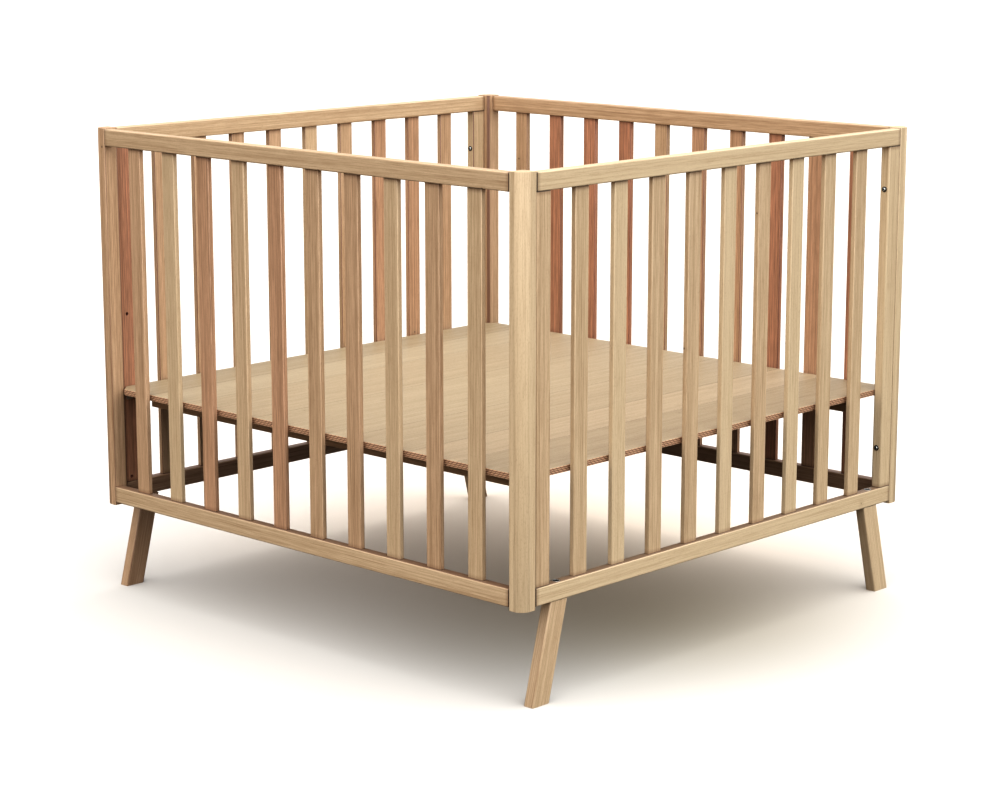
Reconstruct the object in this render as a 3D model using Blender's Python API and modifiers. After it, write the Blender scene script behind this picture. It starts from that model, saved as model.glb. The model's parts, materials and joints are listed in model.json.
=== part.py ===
"""Square wooden playpen on four splayed legs, with a floor that can be set at three heights.

Two glued panels (front and back) carry the corner posts. Two framed panels (left and right)
bolt between them, carry the legs and hold the brackets that the floor rests on. The origin is
on the ground under the middle of the pen: X runs along the front panel, Y from front to back.
"""

import math

import bmesh
import bpy
from mathutils import Matrix, Vector

# --- Driving sizes, in metres ---------------------------------------------------------------
WIDTH = 1.030  # outside the posts, along the front panel
DEPTH = 1.000  # outside the posts, front to back
LEG_HEIGHT = 0.163  # ground to the underside of the bottom rails
FRAME_HEIGHT = 0.6705  # underside of the bottom rails to the top of the top rails

POST_X = 0.029
POST_Y = 0.031
POST_DROP = 0.005  # posts reach below the bottom rails
POST_RISE = 0.0015  # and above the top rails
POST_OUTER_RADIUS = 0.018
POST_INNER_RADIUS = 0.006
POST_EDGE_RADIUS = 0.002

RAIL_HEIGHT = 0.0295
RAIL_THICKNESS = 0.018
STILE_WIDTH = 0.031
FRAME_EDGE_RADIUS = 0.003

SLAT_WIDTH = 0.031
SLAT_THICKNESS = 0.009
SLAT_EDGE_RADIUS = 0.0025
SLAT_TENON = 0.012  # length of a slat's end inside a rail
FRONT_SLATS = 10
SIDE_SLATS = 9

TENON_LENGTH = 0.014
TENON_THICKNESS = 0.008
TENON_HEIGHT = 0.018

LEG_WIDTH = 0.0386  # measured level, front to back
LEG_THICKNESS = 0.020
LEG_INSET = 0.0015  # leg's outer face behind the rail's outer face
LEG_TOP_Y = 0.0865  # middle of the leg's top, inside the pen's depth
LEG_SPLAY = 0.0412  # how far the foot stands out past the top
LEG_EDGE_RADIUS = 0.004

FLOOR_THICKNESS = 0.0105
FLOOR_REST = 0.2064  # underside of the bottom rails to the top of the floor, middle row
FLOOR_GAP = 0.001  # between the floor's edge and the rails
FLOOR_CORNER_GAP = 0.0015  # between the cut corner and the post
FLOOR_ROW_PITCH = 0.149
BATTEN_HEIGHT = 0.030
BATTEN_THICKNESS = 0.018
BATTEN_INSET = 0.061  # floor edge to the batten's outer face
BATTEN_END_GAP = 0.021  # floor edge to the batten's end

BRACKET_WIDTH = 0.014
BRACKET_SEAT = 0.013  # how far the bracket reaches under the floor
BRACKET_DROP = 0.014
BRACKET_PLATE = 0.0018
BRACKET_HOLE_DROP = 0.0075  # bracket seat down to the hole it hangs from
FLOOR_HOLE_RADIUS = 0.0026
FLOOR_HOLE_DEPTH = 0.010

BOLT_RADIUS = 0.003
BOLT_HEAD_RADIUS = 0.005
BOLT_HEAD_HEIGHT = 0.0026
BOLT_ENGAGEMENT = 0.019  # thread in the post
BOLT_RISE = 0.102  # lower panel bolts above the underside of the bottom rails
BOLT_DROP = 0.1045  # upper panel bolts below the top of the top rails
LEG_BOLT_ENGAGEMENT = 0.034
LEG_BOLT_SINK = 0.005  # depth of the recess that the head sits in
LEG_BOLT_SINK_RADIUS = 0.0058

GAP = 0.0003  # between pieces that touch
PANEL_GAP = 0.0006  # between a bolted panel and the posts
BOLT_CLEARANCE = 0.0004  # around a bolt's shank

# --- Places worked out from the sizes -------------------------------------------------------
HALF_WIDTH = WIDTH / 2
HALF_DEPTH = DEPTH / 2
BOTTOM_RAIL_Z = LEG_HEIGHT + RAIL_HEIGHT / 2
TOP_RAIL_Z = LEG_HEIGHT + FRAME_HEIGHT - RAIL_HEIGHT / 2
OPENING_BOTTOM = LEG_HEIGHT + RAIL_HEIGHT
OPENING_TOP = LEG_HEIGHT + FRAME_HEIGHT - RAIL_HEIGHT
POST_BOTTOM = LEG_HEIGHT - POST_DROP
POST_TOP = LEG_HEIGHT + FRAME_HEIGHT + POST_RISE
FRONT_RAIL_Y = HALF_DEPTH - RAIL_THICKNESS / 2
SIDE_RAIL_X = HALF_WIDTH - RAIL_THICKNESS / 2
FRONT_SPAN = WIDTH - 2 * POST_X
SIDE_HALF_LENGTH = HALF_DEPTH - POST_Y - PANEL_GAP
STILE_Y = SIDE_HALF_LENGTH - STILE_WIDTH / 2
SIDE_SPAN = 2 * (SIDE_HALF_LENGTH - STILE_WIDTH)
FLOOR_HALF_X = HALF_WIDTH - RAIL_THICKNESS - FLOOR_GAP
FLOOR_HALF_Y = HALF_DEPTH - RAIL_THICKNESS - FLOOR_GAP
FLOOR_TOP = LEG_HEIGHT + FLOOR_REST
FLOOR_UNDERSIDE = FLOOR_TOP - FLOOR_THICKNESS
BRACKET_TOP = FLOOR_UNDERSIDE - GAP
LEG_Y = HALF_DEPTH - LEG_TOP_Y
BOLT_LEVELS = {"lower": LEG_HEIGHT + BOLT_RISE, "upper": LEG_HEIGHT + FRAME_HEIGHT - BOLT_DROP}

AXES = "XYZ"
SIDES = {"left": -1, "right": 1}
ENDS = {"front": -1, "back": 1}


# --- Scene and materials --------------------------------------------------------------------
def clear_scene():
    """Remove every object that the scene already holds."""
    for item in list(bpy.data.objects):
        bpy.data.objects.remove(item, do_unlink=True)


def new_collection(name):
    """Add a collection to the scene."""
    collection = bpy.data.collections.new(name)
    bpy.context.scene.collection.children.link(collection)
    return collection


def new_material(name, colour, roughness, metallic=0.0):
    """Make a plain Principled material."""
    material = bpy.data.materials.new(name)
    material.use_nodes = True
    shader = material.node_tree.nodes["Principled BSDF"]
    shader.inputs["Base Color"].default_value = (*colour, 1.0)
    shader.inputs["Roughness"].default_value = roughness
    shader.inputs["Metallic"].default_value = metallic
    return material


clear_scene()
PEN = new_collection("playpen")
CUTTERS = new_collection("playpen_cutters")
POST_WOOD = new_material("post_beech", (0.62, 0.42, 0.24), 0.42)
RAIL_WOOD = new_material("rail_beech", (0.60, 0.39, 0.21), 0.42)
SLAT_WOOD = new_material("slat_beech", (0.58, 0.36, 0.19), 0.45)
LEG_WOOD = new_material("leg_beech", (0.61, 0.41, 0.23), 0.42)
FLOOR_WOOD = new_material("floor_plywood", (0.70, 0.50, 0.32), 0.50)
BATTEN_WOOD = new_material("batten_beech", (0.52, 0.32, 0.18), 0.55)
ZINC = new_material("zinc_steel", (0.55, 0.55, 0.53), 0.35, 1.0)


# --- Modelling helpers ----------------------------------------------------------------------
def add_object(name, mesh, material, collection=None):
    """Put a mesh in the scene as a named object with one material."""
    item = bpy.data.objects.new(name, mesh)
    (collection or PEN).objects.link(item)
    if material:
        mesh.materials.append(material)
    mesh.shade_smooth()
    mesh.set_sharp_from_angle(angle=math.radians(30))
    return item


def edges_along(bm, axis):
    """Edges of a box that run along one axis."""
    index = AXES.index(axis)
    found = []
    for edge in bm.edges:
        run = edge.verts[1].co - edge.verts[0].co
        if abs(run[index]) > 0.9999 * run.length:
            found.append(edge)
    return found


def round_edges(bm, edges, radius, segments):
    """Round some edges of a bmesh."""
    bmesh.ops.bevel(
        bm,
        geom=edges,
        offset=radius,
        offset_type="OFFSET",
        segments=segments,
        profile=0.5,
        affect="EDGES",
        clamp_overlap=True,
        material=-1,
    )


def box_bmesh(size, rounded=None, radius=0.0, segments=2):
    """A box about the origin, with the edges along one axis rounded."""
    bm = bmesh.new()
    bmesh.ops.create_cube(bm, size=1.0)
    bmesh.ops.scale(bm, vec=Vector(size), verts=bm.verts)
    if rounded:
        round_edges(bm, edges_along(bm, rounded), radius, segments)
    return bm


def mesh_from(bm, name):
    """Turn a bmesh into mesh data and free it."""
    mesh = bpy.data.meshes.new(name)
    bm.to_mesh(mesh)
    bm.free()
    return mesh


def add_box(name, size, centre, material, rounded=None, radius=0.0, segments=2):
    """A named box with its middle at a point."""
    mesh = mesh_from(box_bmesh(size, rounded, radius, segments), name)
    item = add_object(name, mesh, material)
    item.location = centre
    return item


def add_cutter(name, bm):
    """Keep a cutting or joining shape out of the finished model."""
    item = add_object(name, mesh_from(bm, name), None, CUTTERS)
    item.hide_render = True
    item.display_type = "WIRE"
    return item


def combine(target, tool, operation):
    """Cut a tool out of a piece, or join it on."""
    modifier = target.modifiers.new(f"{operation.lower()}_{tool.name}", "BOOLEAN")
    modifier.operation = operation
    modifier.object = tool
    modifier.solver = "EXACT"


def merge_into(bm, part, place):
    """Copy one bmesh into another at a place, and free the part."""
    bmesh.ops.transform(part, matrix=place, verts=part.verts)
    mesh = mesh_from(part, "merged")
    bm.from_mesh(mesh)
    bpy.data.meshes.remove(mesh)


def rod_bmesh(radius, length, axis):
    """A straight round rod about the origin, along one axis."""
    bm = bmesh.new()
    bmesh.ops.create_cone(
        bm, cap_ends=True, segments=12, radius1=radius, radius2=radius, depth=length
    )
    turns = {
        "X": Matrix.Rotation(math.pi / 2, 4, "Y"),
        "Y": Matrix.Rotation(math.pi / 2, 4, "X"),
        "Z": Matrix.Identity(4),
    }
    bmesh.ops.transform(bm, matrix=turns[axis], verts=bm.verts)
    return bm


def slat_centres(span, count):
    """Middles of equally spaced slats between two uprights."""
    gap = (span - count * SLAT_WIDTH) / (count + 1)
    pitch = SLAT_WIDTH + gap
    return [-span / 2 + gap + SLAT_WIDTH / 2 + index * pitch for index in range(count)]


def slat_size(along, height, slack=0.0):
    """Size of a slat or of its mortise, for a panel that runs along X or Y."""
    width = SLAT_WIDTH + 2 * slack
    thickness = SLAT_THICKNESS + 2 * slack
    return (width, thickness, height) if along == "X" else (thickness, width, height)


# --- Corner posts ---------------------------------------------------------------------------
def make_post(side, end):
    """A post with a large outer corner radius, cut for the front or back rails and the bolts."""
    sx, sy = SIDES[side], ENDS[end]
    height = POST_TOP - POST_BOTTOM
    bm = box_bmesh((POST_X, POST_Y, height))
    corners = {(sx, sy): (POST_OUTER_RADIUS, 6), (-sx, -sy): (POST_INNER_RADIUS, 3)}
    for corner_x in (-1, 1):
        for corner_y in (-1, 1):
            default = (POST_EDGE_RADIUS, 1)
            radius, segments = corners.get((corner_x, corner_y), default)
            place = Vector((corner_x * POST_X / 2, corner_y * POST_Y / 2))
            edges = [
                edge
                for edge in edges_along(bm, "Z")
                if all((vert.co.xy - place).length < 1e-6 for vert in edge.verts)
            ]
            round_edges(bm, edges, radius, segments)
    name = f"post_{end}_{side}"
    post = add_object(name, mesh_from(bm, name), POST_WOOD)
    x = sx * (HALF_WIDTH - POST_X / 2)
    y = sy * (HALF_DEPTH - POST_Y / 2)
    post.location = (x, y, (POST_TOP + POST_BOTTOM) / 2)

    holes = bmesh.new()
    inner_x = sx * (HALF_WIDTH - POST_X)
    reach = TENON_LENGTH + GAP
    mortise = (2 * reach, TENON_THICKNESS + 2 * GAP, TENON_HEIGHT + 2 * GAP)
    for z in (BOTTOM_RAIL_Z, TOP_RAIL_Z):
        place = Matrix.Translation((inner_x, sy * FRONT_RAIL_Y, z))
        merge_into(holes, box_bmesh(mortise), place)
    inner_y = sy * (HALF_DEPTH - POST_Y)
    depth = BOLT_ENGAGEMENT + GAP
    for bolt_z in BOLT_LEVELS.values():
        place = Matrix.Translation((sx * SIDE_RAIL_X, inner_y, bolt_z))
        merge_into(holes, rod_bmesh(BOLT_RADIUS + GAP, 2 * depth, "Y"), place)
    combine(post, add_cutter(f"{name}_holes", holes), "DIFFERENCE")


# --- Front and back panels ------------------------------------------------------------------
def slat_mortises(centres, along, offset, rail_z, toward):
    """Cutter for the row of mortises in one rail; toward is +1 when slats rise from it."""
    depth = SLAT_TENON + GAP
    face = rail_z + toward * RAIL_HEIGHT / 2
    cutter = bmesh.new()
    for centre in centres:
        mortise = box_bmesh(slat_size(along, 2 * depth, GAP), "Z", SLAT_EDGE_RADIUS + GAP)
        where = (centre, offset, face) if along == "X" else (offset, centre, face)
        merge_into(cutter, mortise, Matrix.Translation(where))
    return cutter


def make_front_rail(end, level, rail_z, toward):
    """A rail of the front or back panel, with a tenon for the post at each end."""
    y = ENDS[end] * FRONT_RAIL_Y
    length = FRONT_SPAN - 2 * GAP
    name = f"{end}_{level}_rail"
    rail = add_box(
        name, (length, RAIL_THICKNESS, RAIL_HEIGHT), (0, y, rail_z), RAIL_WOOD, "X", FRAME_EDGE_RADIUS
    )
    tenon = box_bmesh((FRONT_SPAN + 2 * TENON_LENGTH, TENON_THICKNESS, TENON_HEIGHT))
    bmesh.ops.translate(tenon, vec=(0, y, rail_z), verts=tenon.verts)
    combine(rail, add_cutter(f"{name}_tenons", tenon), "UNION")
    cutter = slat_mortises(slat_centres(FRONT_SPAN, FRONT_SLATS), "X", y, rail_z, toward)
    combine(rail, add_cutter(f"{name}_mortises", cutter), "DIFFERENCE")


def make_front_panel(end):
    """Rails and slats of the front or back panel."""
    make_front_rail(end, "bottom", BOTTOM_RAIL_Z, 1)
    make_front_rail(end, "top", TOP_RAIL_Z, -1)
    height = OPENING_TOP - OPENING_BOTTOM + 2 * SLAT_TENON
    middle = (OPENING_TOP + OPENING_BOTTOM) / 2
    y = ENDS[end] * FRONT_RAIL_Y
    for number, x in enumerate(slat_centres(FRONT_SPAN, FRONT_SLATS), 1):
        add_box(
            f"{end}_slat_{number:02d}",
            slat_size("X", height),
            (x, y, middle),
            SLAT_WOOD,
            "Z",
            SLAT_EDGE_RADIUS,
        )


# --- Left and right panels ------------------------------------------------------------------
def side_rail(side, name, rail_z):
    """A plain rail of the left or right panel."""
    x = SIDES[side] * SIDE_RAIL_X
    size = (RAIL_THICKNESS, 2 * SIDE_HALF_LENGTH, RAIL_HEIGHT)
    return add_box(name, size, (x, 0, rail_z), RAIL_WOOD, "Y", FRAME_EDGE_RADIUS)


def stile_mortises(x, rail_z, toward):
    """Cutter for the two mortises that take the stiles' tenons in one rail."""
    cutter = bmesh.new()
    reach = TENON_LENGTH + GAP
    size = (TENON_THICKNESS + 2 * GAP, TENON_HEIGHT + 2 * GAP, 2 * reach)
    for end in ENDS.values():
        place = (x, end * STILE_Y, rail_z + toward * RAIL_HEIGHT / 2)
        merge_into(cutter, box_bmesh(size), Matrix.Translation(place))
    return cutter


def make_side_top_rail(side):
    """Top rail of a side panel, with mortises for the slats and the stiles."""
    name = f"{side}_top_rail"
    x = SIDES[side] * SIDE_RAIL_X
    rail = side_rail(side, name, TOP_RAIL_Z)
    centres = slat_centres(SIDE_SPAN, SIDE_SLATS)
    cutter = slat_mortises(centres, "Y", x, TOP_RAIL_Z, -1)
    combine(rail, add_cutter(f"{name}_mortises", cutter), "DIFFERENCE")
    stiles = stile_mortises(x, TOP_RAIL_Z, -1)
    combine(rail, add_cutter(f"{name}_stile_mortises", stiles), "DIFFERENCE")


def make_side_bottom_rail(side):
    """Bottom rail of a side panel with its glued row of slats and its leg bolt holes."""
    name = f"{side}_bottom_rail_with_slats"
    x = SIDES[side] * SIDE_RAIL_X
    rail = side_rail(side, name, BOTTOM_RAIL_Z)
    slats = bmesh.new()
    low = OPENING_BOTTOM - SLAT_TENON
    high = OPENING_TOP + SLAT_TENON
    for centre in slat_centres(SIDE_SPAN, SIDE_SLATS):
        slat = box_bmesh(slat_size("Y", high - low), "Z", SLAT_EDGE_RADIUS)
        merge_into(slats, slat, Matrix.Translation((x, centre, (low + high) / 2)))
    combine(rail, add_cutter(f"{name}_slats", slats), "UNION")

    stiles = stile_mortises(x, BOTTOM_RAIL_Z, 1)
    combine(rail, add_cutter(f"{name}_stile_mortises", stiles), "DIFFERENCE")
    shank = BOLT_RADIUS + BOLT_CLEARANCE
    for radius, depth, label in (
        (shank, RAIL_HEIGHT + GAP, "holes"),
        (LEG_BOLT_SINK_RADIUS, LEG_BOLT_SINK, "recesses"),
    ):
        cutter = bmesh.new()
        for end in ENDS.values():
            place = Matrix.Translation((x, end * LEG_Y, OPENING_BOTTOM))
            merge_into(cutter, rod_bmesh(radius, 2 * depth, "Z"), place)
        combine(rail, add_cutter(f"{name}_{label}", cutter), "DIFFERENCE")


def make_stile(side, end):
    """An upright of a side panel: tenons, two bolt holes and three holes for the floor."""
    name = f"{side}_stile_{end}"
    sx, sy = SIDES[side], ENDS[end]
    x, y = sx * SIDE_RAIL_X, sy * STILE_Y
    height = OPENING_TOP - OPENING_BOTTOM - 2 * GAP
    middle = (OPENING_TOP + OPENING_BOTTOM) / 2
    stile = add_box(
        name,
        (RAIL_THICKNESS, STILE_WIDTH, height),
        (x, y, middle),
        RAIL_WOOD,
        "Z",
        FRAME_EDGE_RADIUS,
    )
    tenon_run = OPENING_TOP - OPENING_BOTTOM + 2 * TENON_LENGTH
    tenon = box_bmesh((TENON_THICKNESS, TENON_HEIGHT, tenon_run))
    bmesh.ops.translate(tenon, vec=(x, y, middle), verts=tenon.verts)
    combine(stile, add_cutter(f"{name}_tenons", tenon), "UNION")

    holes = bmesh.new()
    for bolt_z in BOLT_LEVELS.values():
        place = Matrix.Translation((x, y, bolt_z))
        rod = rod_bmesh(BOLT_RADIUS + BOLT_CLEARANCE, 2 * STILE_WIDTH, "Y")
        merge_into(holes, rod, place)
    inner_x = sx * (HALF_WIDTH - RAIL_THICKNESS)
    for row in (-1, 0, 1):
        z = BRACKET_TOP - BRACKET_HOLE_DROP + row * FLOOR_ROW_PITCH
        rod = rod_bmesh(FLOOR_HOLE_RADIUS, 2 * FLOOR_HOLE_DEPTH, "X")
        merge_into(holes, rod, Matrix.Translation((inner_x, y, z)))
    combine(stile, add_cutter(f"{name}_holes", holes), "DIFFERENCE")


# --- Legs -----------------------------------------------------------------------------------
def make_leg(side, end):
    """A board that leans out toward the front or back, drilled from the top for its bolt."""
    sx, sy = SIDES[side], ENDS[end]
    height = LEG_HEIGHT - GAP
    bm = box_bmesh((LEG_THICKNESS, LEG_WIDTH, height), "Z", LEG_EDGE_RADIUS)
    lean = Matrix.Identity(4)
    lean[1][2] = -sy * LEG_SPLAY / LEG_HEIGHT
    bmesh.ops.transform(bm, matrix=lean, verts=bm.verts)
    name = f"leg_{end}_{side}"
    leg = add_object(name, mesh_from(bm, name), LEG_WOOD)
    x = sx * (HALF_WIDTH - LEG_INSET - LEG_THICKNESS / 2)
    leg.location = (x, sy * (LEG_Y + LEG_SPLAY / 2), height / 2)

    depth = LEG_BOLT_ENGAGEMENT + 2 * GAP
    hole = rod_bmesh(BOLT_RADIUS + GAP, 2 * depth, "Z")
    place = (sx * SIDE_RAIL_X, sy * LEG_Y, LEG_HEIGHT)
    bmesh.ops.translate(hole, vec=place, verts=hole.verts)
    combine(leg, add_cutter(f"{name}_hole", hole), "DIFFERENCE")


# --- Floor ----------------------------------------------------------------------------------
def make_floor():
    """Plywood floor with cut corners, and a batten under its front and back edges."""
    post_corner = (HALF_WIDTH - POST_X) + (HALF_DEPTH - POST_Y)
    rounding = 2 * POST_INNER_RADIUS - math.sqrt(2) * POST_INNER_RADIUS
    cut_line = post_corner + rounding - math.sqrt(2) * FLOOR_CORNER_GAP
    corner_cut = FLOOR_HALF_X + FLOOR_HALF_Y - cut_line
    add_box(
        "floor_board",
        (2 * FLOOR_HALF_X, 2 * FLOOR_HALF_Y, FLOOR_THICKNESS),
        (0, 0, FLOOR_TOP - FLOOR_THICKNESS / 2),
        FLOOR_WOOD,
        "Z",
        corner_cut,
        1,
    )
    length = 2 * (FLOOR_HALF_X - BATTEN_END_GAP)
    y = FLOOR_HALF_Y - BATTEN_INSET - BATTEN_THICKNESS / 2
    z = FLOOR_UNDERSIDE - GAP - BATTEN_HEIGHT / 2
    for end, sign in ENDS.items():
        size = (length, BATTEN_THICKNESS, BATTEN_HEIGHT)
        add_box(f"floor_batten_{end}", size, (0, sign * y, z), BATTEN_WOOD, "X", POST_EDGE_RADIUS, 1)


def make_bracket(side, end):
    """An L of steel plate that hangs on the stile and holds one corner of the floor."""
    sx, sy = SIDES[side], ENDS[end]
    outline = [
        (0, 0),
        (BRACKET_SEAT, 0),
        (BRACKET_SEAT, -BRACKET_PLATE),
        (BRACKET_PLATE, -BRACKET_PLATE),
        (BRACKET_PLATE, -BRACKET_DROP),
        (0, -BRACKET_DROP),
    ]
    bm = bmesh.new()
    verts = [bm.verts.new((-sx * reach, -BRACKET_WIDTH / 2, z)) for reach, z in outline]
    face = bm.faces.new(verts)
    sweep = bmesh.ops.extrude_face_region(bm, geom=[face])
    moved = [item for item in sweep["geom"] if isinstance(item, bmesh.types.BMVert)]
    bmesh.ops.translate(bm, vec=(0, BRACKET_WIDTH, 0), verts=moved)
    bmesh.ops.recalc_face_normals(bm, faces=bm.faces)
    name = f"floor_bracket_{end}_{side}"
    bracket = add_object(name, mesh_from(bm, name), ZINC)
    face_x = HALF_WIDTH - RAIL_THICKNESS - GAP
    bracket.location = (sx * face_x, sy * STILE_Y, BRACKET_TOP)


# --- Bolts ----------------------------------------------------------------------------------
def bolt_profile(length):
    """Half section of a domed bolt, from the top of the head down to the end of the shank."""
    rise = 3
    points = [
        (
            BOLT_HEAD_RADIUS * math.sin(step / rise * math.pi / 2),
            BOLT_HEAD_HEIGHT * math.cos(step / rise * math.pi / 2),
        )
        for step in range(rise + 1)
    ]
    return points + [(BOLT_RADIUS, 0.0), (BOLT_RADIUS, -length), (0.0, -length)]


def make_bolt(name, length, seat, direction):
    """A domed bolt whose head sits at a point and whose shank runs in a direction."""
    bm = bmesh.new()
    verts = [bm.verts.new((radius, 0, z)) for radius, z in bolt_profile(length)]
    for first, second in zip(verts, verts[1:]):
        bm.edges.new((first, second))
    bolt = add_object(name, mesh_from(bm, name), ZINC)
    screw = bolt.modifiers.new("turn", "SCREW")
    screw.steps = 12
    screw.render_steps = 12
    screw.use_merge_vertices = True
    screw.merge_threshold = 0.00005
    screw.use_normal_calculate = True
    bolt.location = seat
    bolt.rotation_mode = "QUATERNION"
    bolt.rotation_quaternion = Vector((0, 0, -1)).rotation_difference(Vector(direction))


def make_bolts():
    """Two bolts from each stile into its post, and one through the rail into each leg."""
    for side, sx in SIDES.items():
        for end, sy in ENDS.items():
            head_y = sy * (STILE_Y - STILE_WIDTH / 2 - GAP)
            length = GAP + STILE_WIDTH + PANEL_GAP + BOLT_ENGAGEMENT
            for level, bolt_z in BOLT_LEVELS.items():
                seat = (sx * SIDE_RAIL_X, head_y, bolt_z)
                make_bolt(f"{side}_panel_bolt_{end}_{level}", length, seat, (0, sy, 0))
            seat_z = OPENING_BOTTOM - LEG_BOLT_SINK + GAP
            length = seat_z - LEG_HEIGHT + LEG_BOLT_ENGAGEMENT
            seat = (sx * SIDE_RAIL_X, sy * LEG_Y, seat_z)
            make_bolt(f"leg_bolt_{end}_{side}", length, seat, (0, 0, -1))


# --- The whole pen --------------------------------------------------------------------------
def make_playpen():
    """Build every piece."""
    for end in ENDS:
        make_front_panel(end)
    for side in SIDES:
        make_side_top_rail(side)
        make_side_bottom_rail(side)
        for end in ENDS:
            make_post(side, end)
            make_stile(side, end)
            make_leg(side, end)
            make_bracket(side, end)
    make_floor()
    make_bolts()


make_playpen()
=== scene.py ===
"""Beech playpen: four corner posts, four barred panels, splayed legs and a plywood floor.

Every board is its own piece with rounded edges, its own cut of the tree and its own joints. The
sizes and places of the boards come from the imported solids. The pen's long grain, ray flecks,
knots, veneer leaves and plies are procedural, and each board reads them in its own coordinates.
"""

from __future__ import annotations

import json
import logging
import math
import random
from dataclasses import dataclass, field
from enum import Enum

import bmesh
import bpy
import numpy as np
from mathutils import Matrix, Vector


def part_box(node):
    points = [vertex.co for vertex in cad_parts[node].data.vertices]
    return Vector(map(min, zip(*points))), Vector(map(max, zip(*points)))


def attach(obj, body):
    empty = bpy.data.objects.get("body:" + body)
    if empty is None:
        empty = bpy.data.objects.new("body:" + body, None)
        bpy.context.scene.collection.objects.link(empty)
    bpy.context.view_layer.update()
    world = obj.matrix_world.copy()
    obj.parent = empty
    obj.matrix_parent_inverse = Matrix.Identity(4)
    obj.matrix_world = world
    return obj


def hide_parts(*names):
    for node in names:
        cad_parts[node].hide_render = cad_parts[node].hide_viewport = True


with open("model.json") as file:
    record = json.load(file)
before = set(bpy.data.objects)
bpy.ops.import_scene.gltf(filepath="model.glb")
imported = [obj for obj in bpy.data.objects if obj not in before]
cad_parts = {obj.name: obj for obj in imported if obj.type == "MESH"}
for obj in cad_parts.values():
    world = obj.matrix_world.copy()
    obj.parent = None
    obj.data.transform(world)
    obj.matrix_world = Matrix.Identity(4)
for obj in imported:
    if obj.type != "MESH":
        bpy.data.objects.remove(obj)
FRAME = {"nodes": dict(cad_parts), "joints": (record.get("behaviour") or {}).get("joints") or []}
LOG = logging.getLogger("playpen")
Colour = tuple[float, float, float]
Socket = bpy.types.NodeSocket
NEAR = 1e-6  # points closer than this, in metres, are one point
FLAT = 0.9999  # least share of a flat face's normal that lies along one axis
ABOVE = 0.001  # how far above a face each drill starts, in metres
RAIL_LEVELS = ("bottom", "top")
BOLT_LEVELS = ("lower", "upper")
DARK_WOOD: Colour = (0.10, 0.055, 0.03)  # the cores of pin knots, and the lines between leaves


# --- Choices ----------------------------------------------------------------------------------
class Side(Enum):
    """The pen's left and right, as directions along X."""

    LEFT = -1
    RIGHT = 1

    @property
    def word(self) -> str:
        """The side's name in lower case."""
        return self.name.lower()


class Cut(Enum):
    """The cut of the tree a board comes from: its lightness, its redness and its figure."""

    PALE = (0.80, 0.0, 0.8)
    PLAIN = (0.10, 0.08, 0.9)
    TAN = (-0.25, 0.28, 1.0)
    WARM = (-0.30, 0.52, 1.1)
    RED = (-0.60, 0.92, 1.2)


class End(Enum):
    """The pen's front and back, as directions along Y."""

    FRONT = -1
    BACK = 1

    @property
    def word(self) -> str:
        """The end's name in lower case."""
        return self.name.lower()


class Run(Enum):
    """Which way a board's length, width and thickness lie in the pen."""

    RAIL_ACROSS = ((1, 0, 0), (0, 0, 1), (0, -1, 0))
    RAIL_DEEP = ((0, 1, 0), (0, 0, 1), (1, 0, 0))
    UPRIGHT_ACROSS = ((0, 0, 1), (1, 0, 0), (0, 1, 0))
    UPRIGHT_DEEP = ((0, 0, 1), (0, 1, 0), (-1, 0, 0))
    FLAT_DEEP = ((0, 1, 0), (-1, 0, 0), (0, 0, 1))

    @property
    def turn(self) -> Matrix:
        """The rotation from the board's own axes to the pen's."""
        return Matrix(self.value).transposed().to_4x4()


def corners(node: str) -> tuple[Vector, Vector]:
    """A solid's lowest and highest corners."""
    low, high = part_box(node)
    return Vector(low), Vector(high)


def centre(node: str) -> Vector:
    """The middle of a solid."""
    low, high = corners(node)
    return (low + high) / 2


# --- Finishes ---------------------------------------------------------------------------------
@dataclass(frozen=True)
class TimberFinish:
    """Varnished solid beech as one kind of board shows it.

    Attributes:
        name: The material's name.
        slot: The record's material slot; not used.
        pale: Colour of the early wood.
        deep: Colour of the late wood.
        warm: Colour that the red boards lean to. Some narrow faces redden through painted shade.
        rings: Distance between growth rings, in metres.
        ring_strength: How far the rings darken the wood.
        flecks: How dark the ray flecks are.
        knots: How dark the pin knots are.
    """

    name: str
    slot: str
    pale: Colour = (0.61, 0.485, 0.325)
    deep: Colour = (0.36, 0.24, 0.135)
    warm: Colour = (0.43, 0.172, 0.10)
    rings: float = 0.0026
    ring_strength: float = 0.22
    flecks: float = 0.22
    knots: float = 0.85

    def make(self, shop: "FinishShop") -> bpy.types.Material:
        """Build the material.

        Args:
            shop: Holder of the shared shader groups.

        Returns:
            The finished material.
        """
        material, graph, shader = shop.blank(self.name)
        figure = graph.group(shop.timber)
        graph.feed_marks(figure)
        along = graph.math("ABSOLUTE", graph.parts(graph.read("board_at"))[0])
        reach = graph.parts(graph.read("board_reach"))[0]
        values = {
            "Joint Distance": graph.math("SUBTRACT", reach, along),
            "Pale": self.pale,
            "Deep": self.deep,
            "Warm": self.warm,
            "Ring Spacing": self.rings,
            "Ring Strength": self.ring_strength,
            "Flecks": self.flecks,
            "Knots": self.knots,
        }
        graph.fill(figure, values)
        graph.finish(shader, figure, bump=0.16)
        graph.fill(shader, {"Coat Weight": 0.12, "Coat Roughness": 0.28})
        return material


@dataclass(frozen=True)
class VeneerLeaf:
    """One leaf of the floor's face veneer.

    Attributes:
        width: Width of the leaf, in metres.
        light: How pale the leaf is, from -1 to 1.
        pink: How pink the leaf is, from 0 to 1.
    """

    width: float
    light: float
    pink: float


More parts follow.
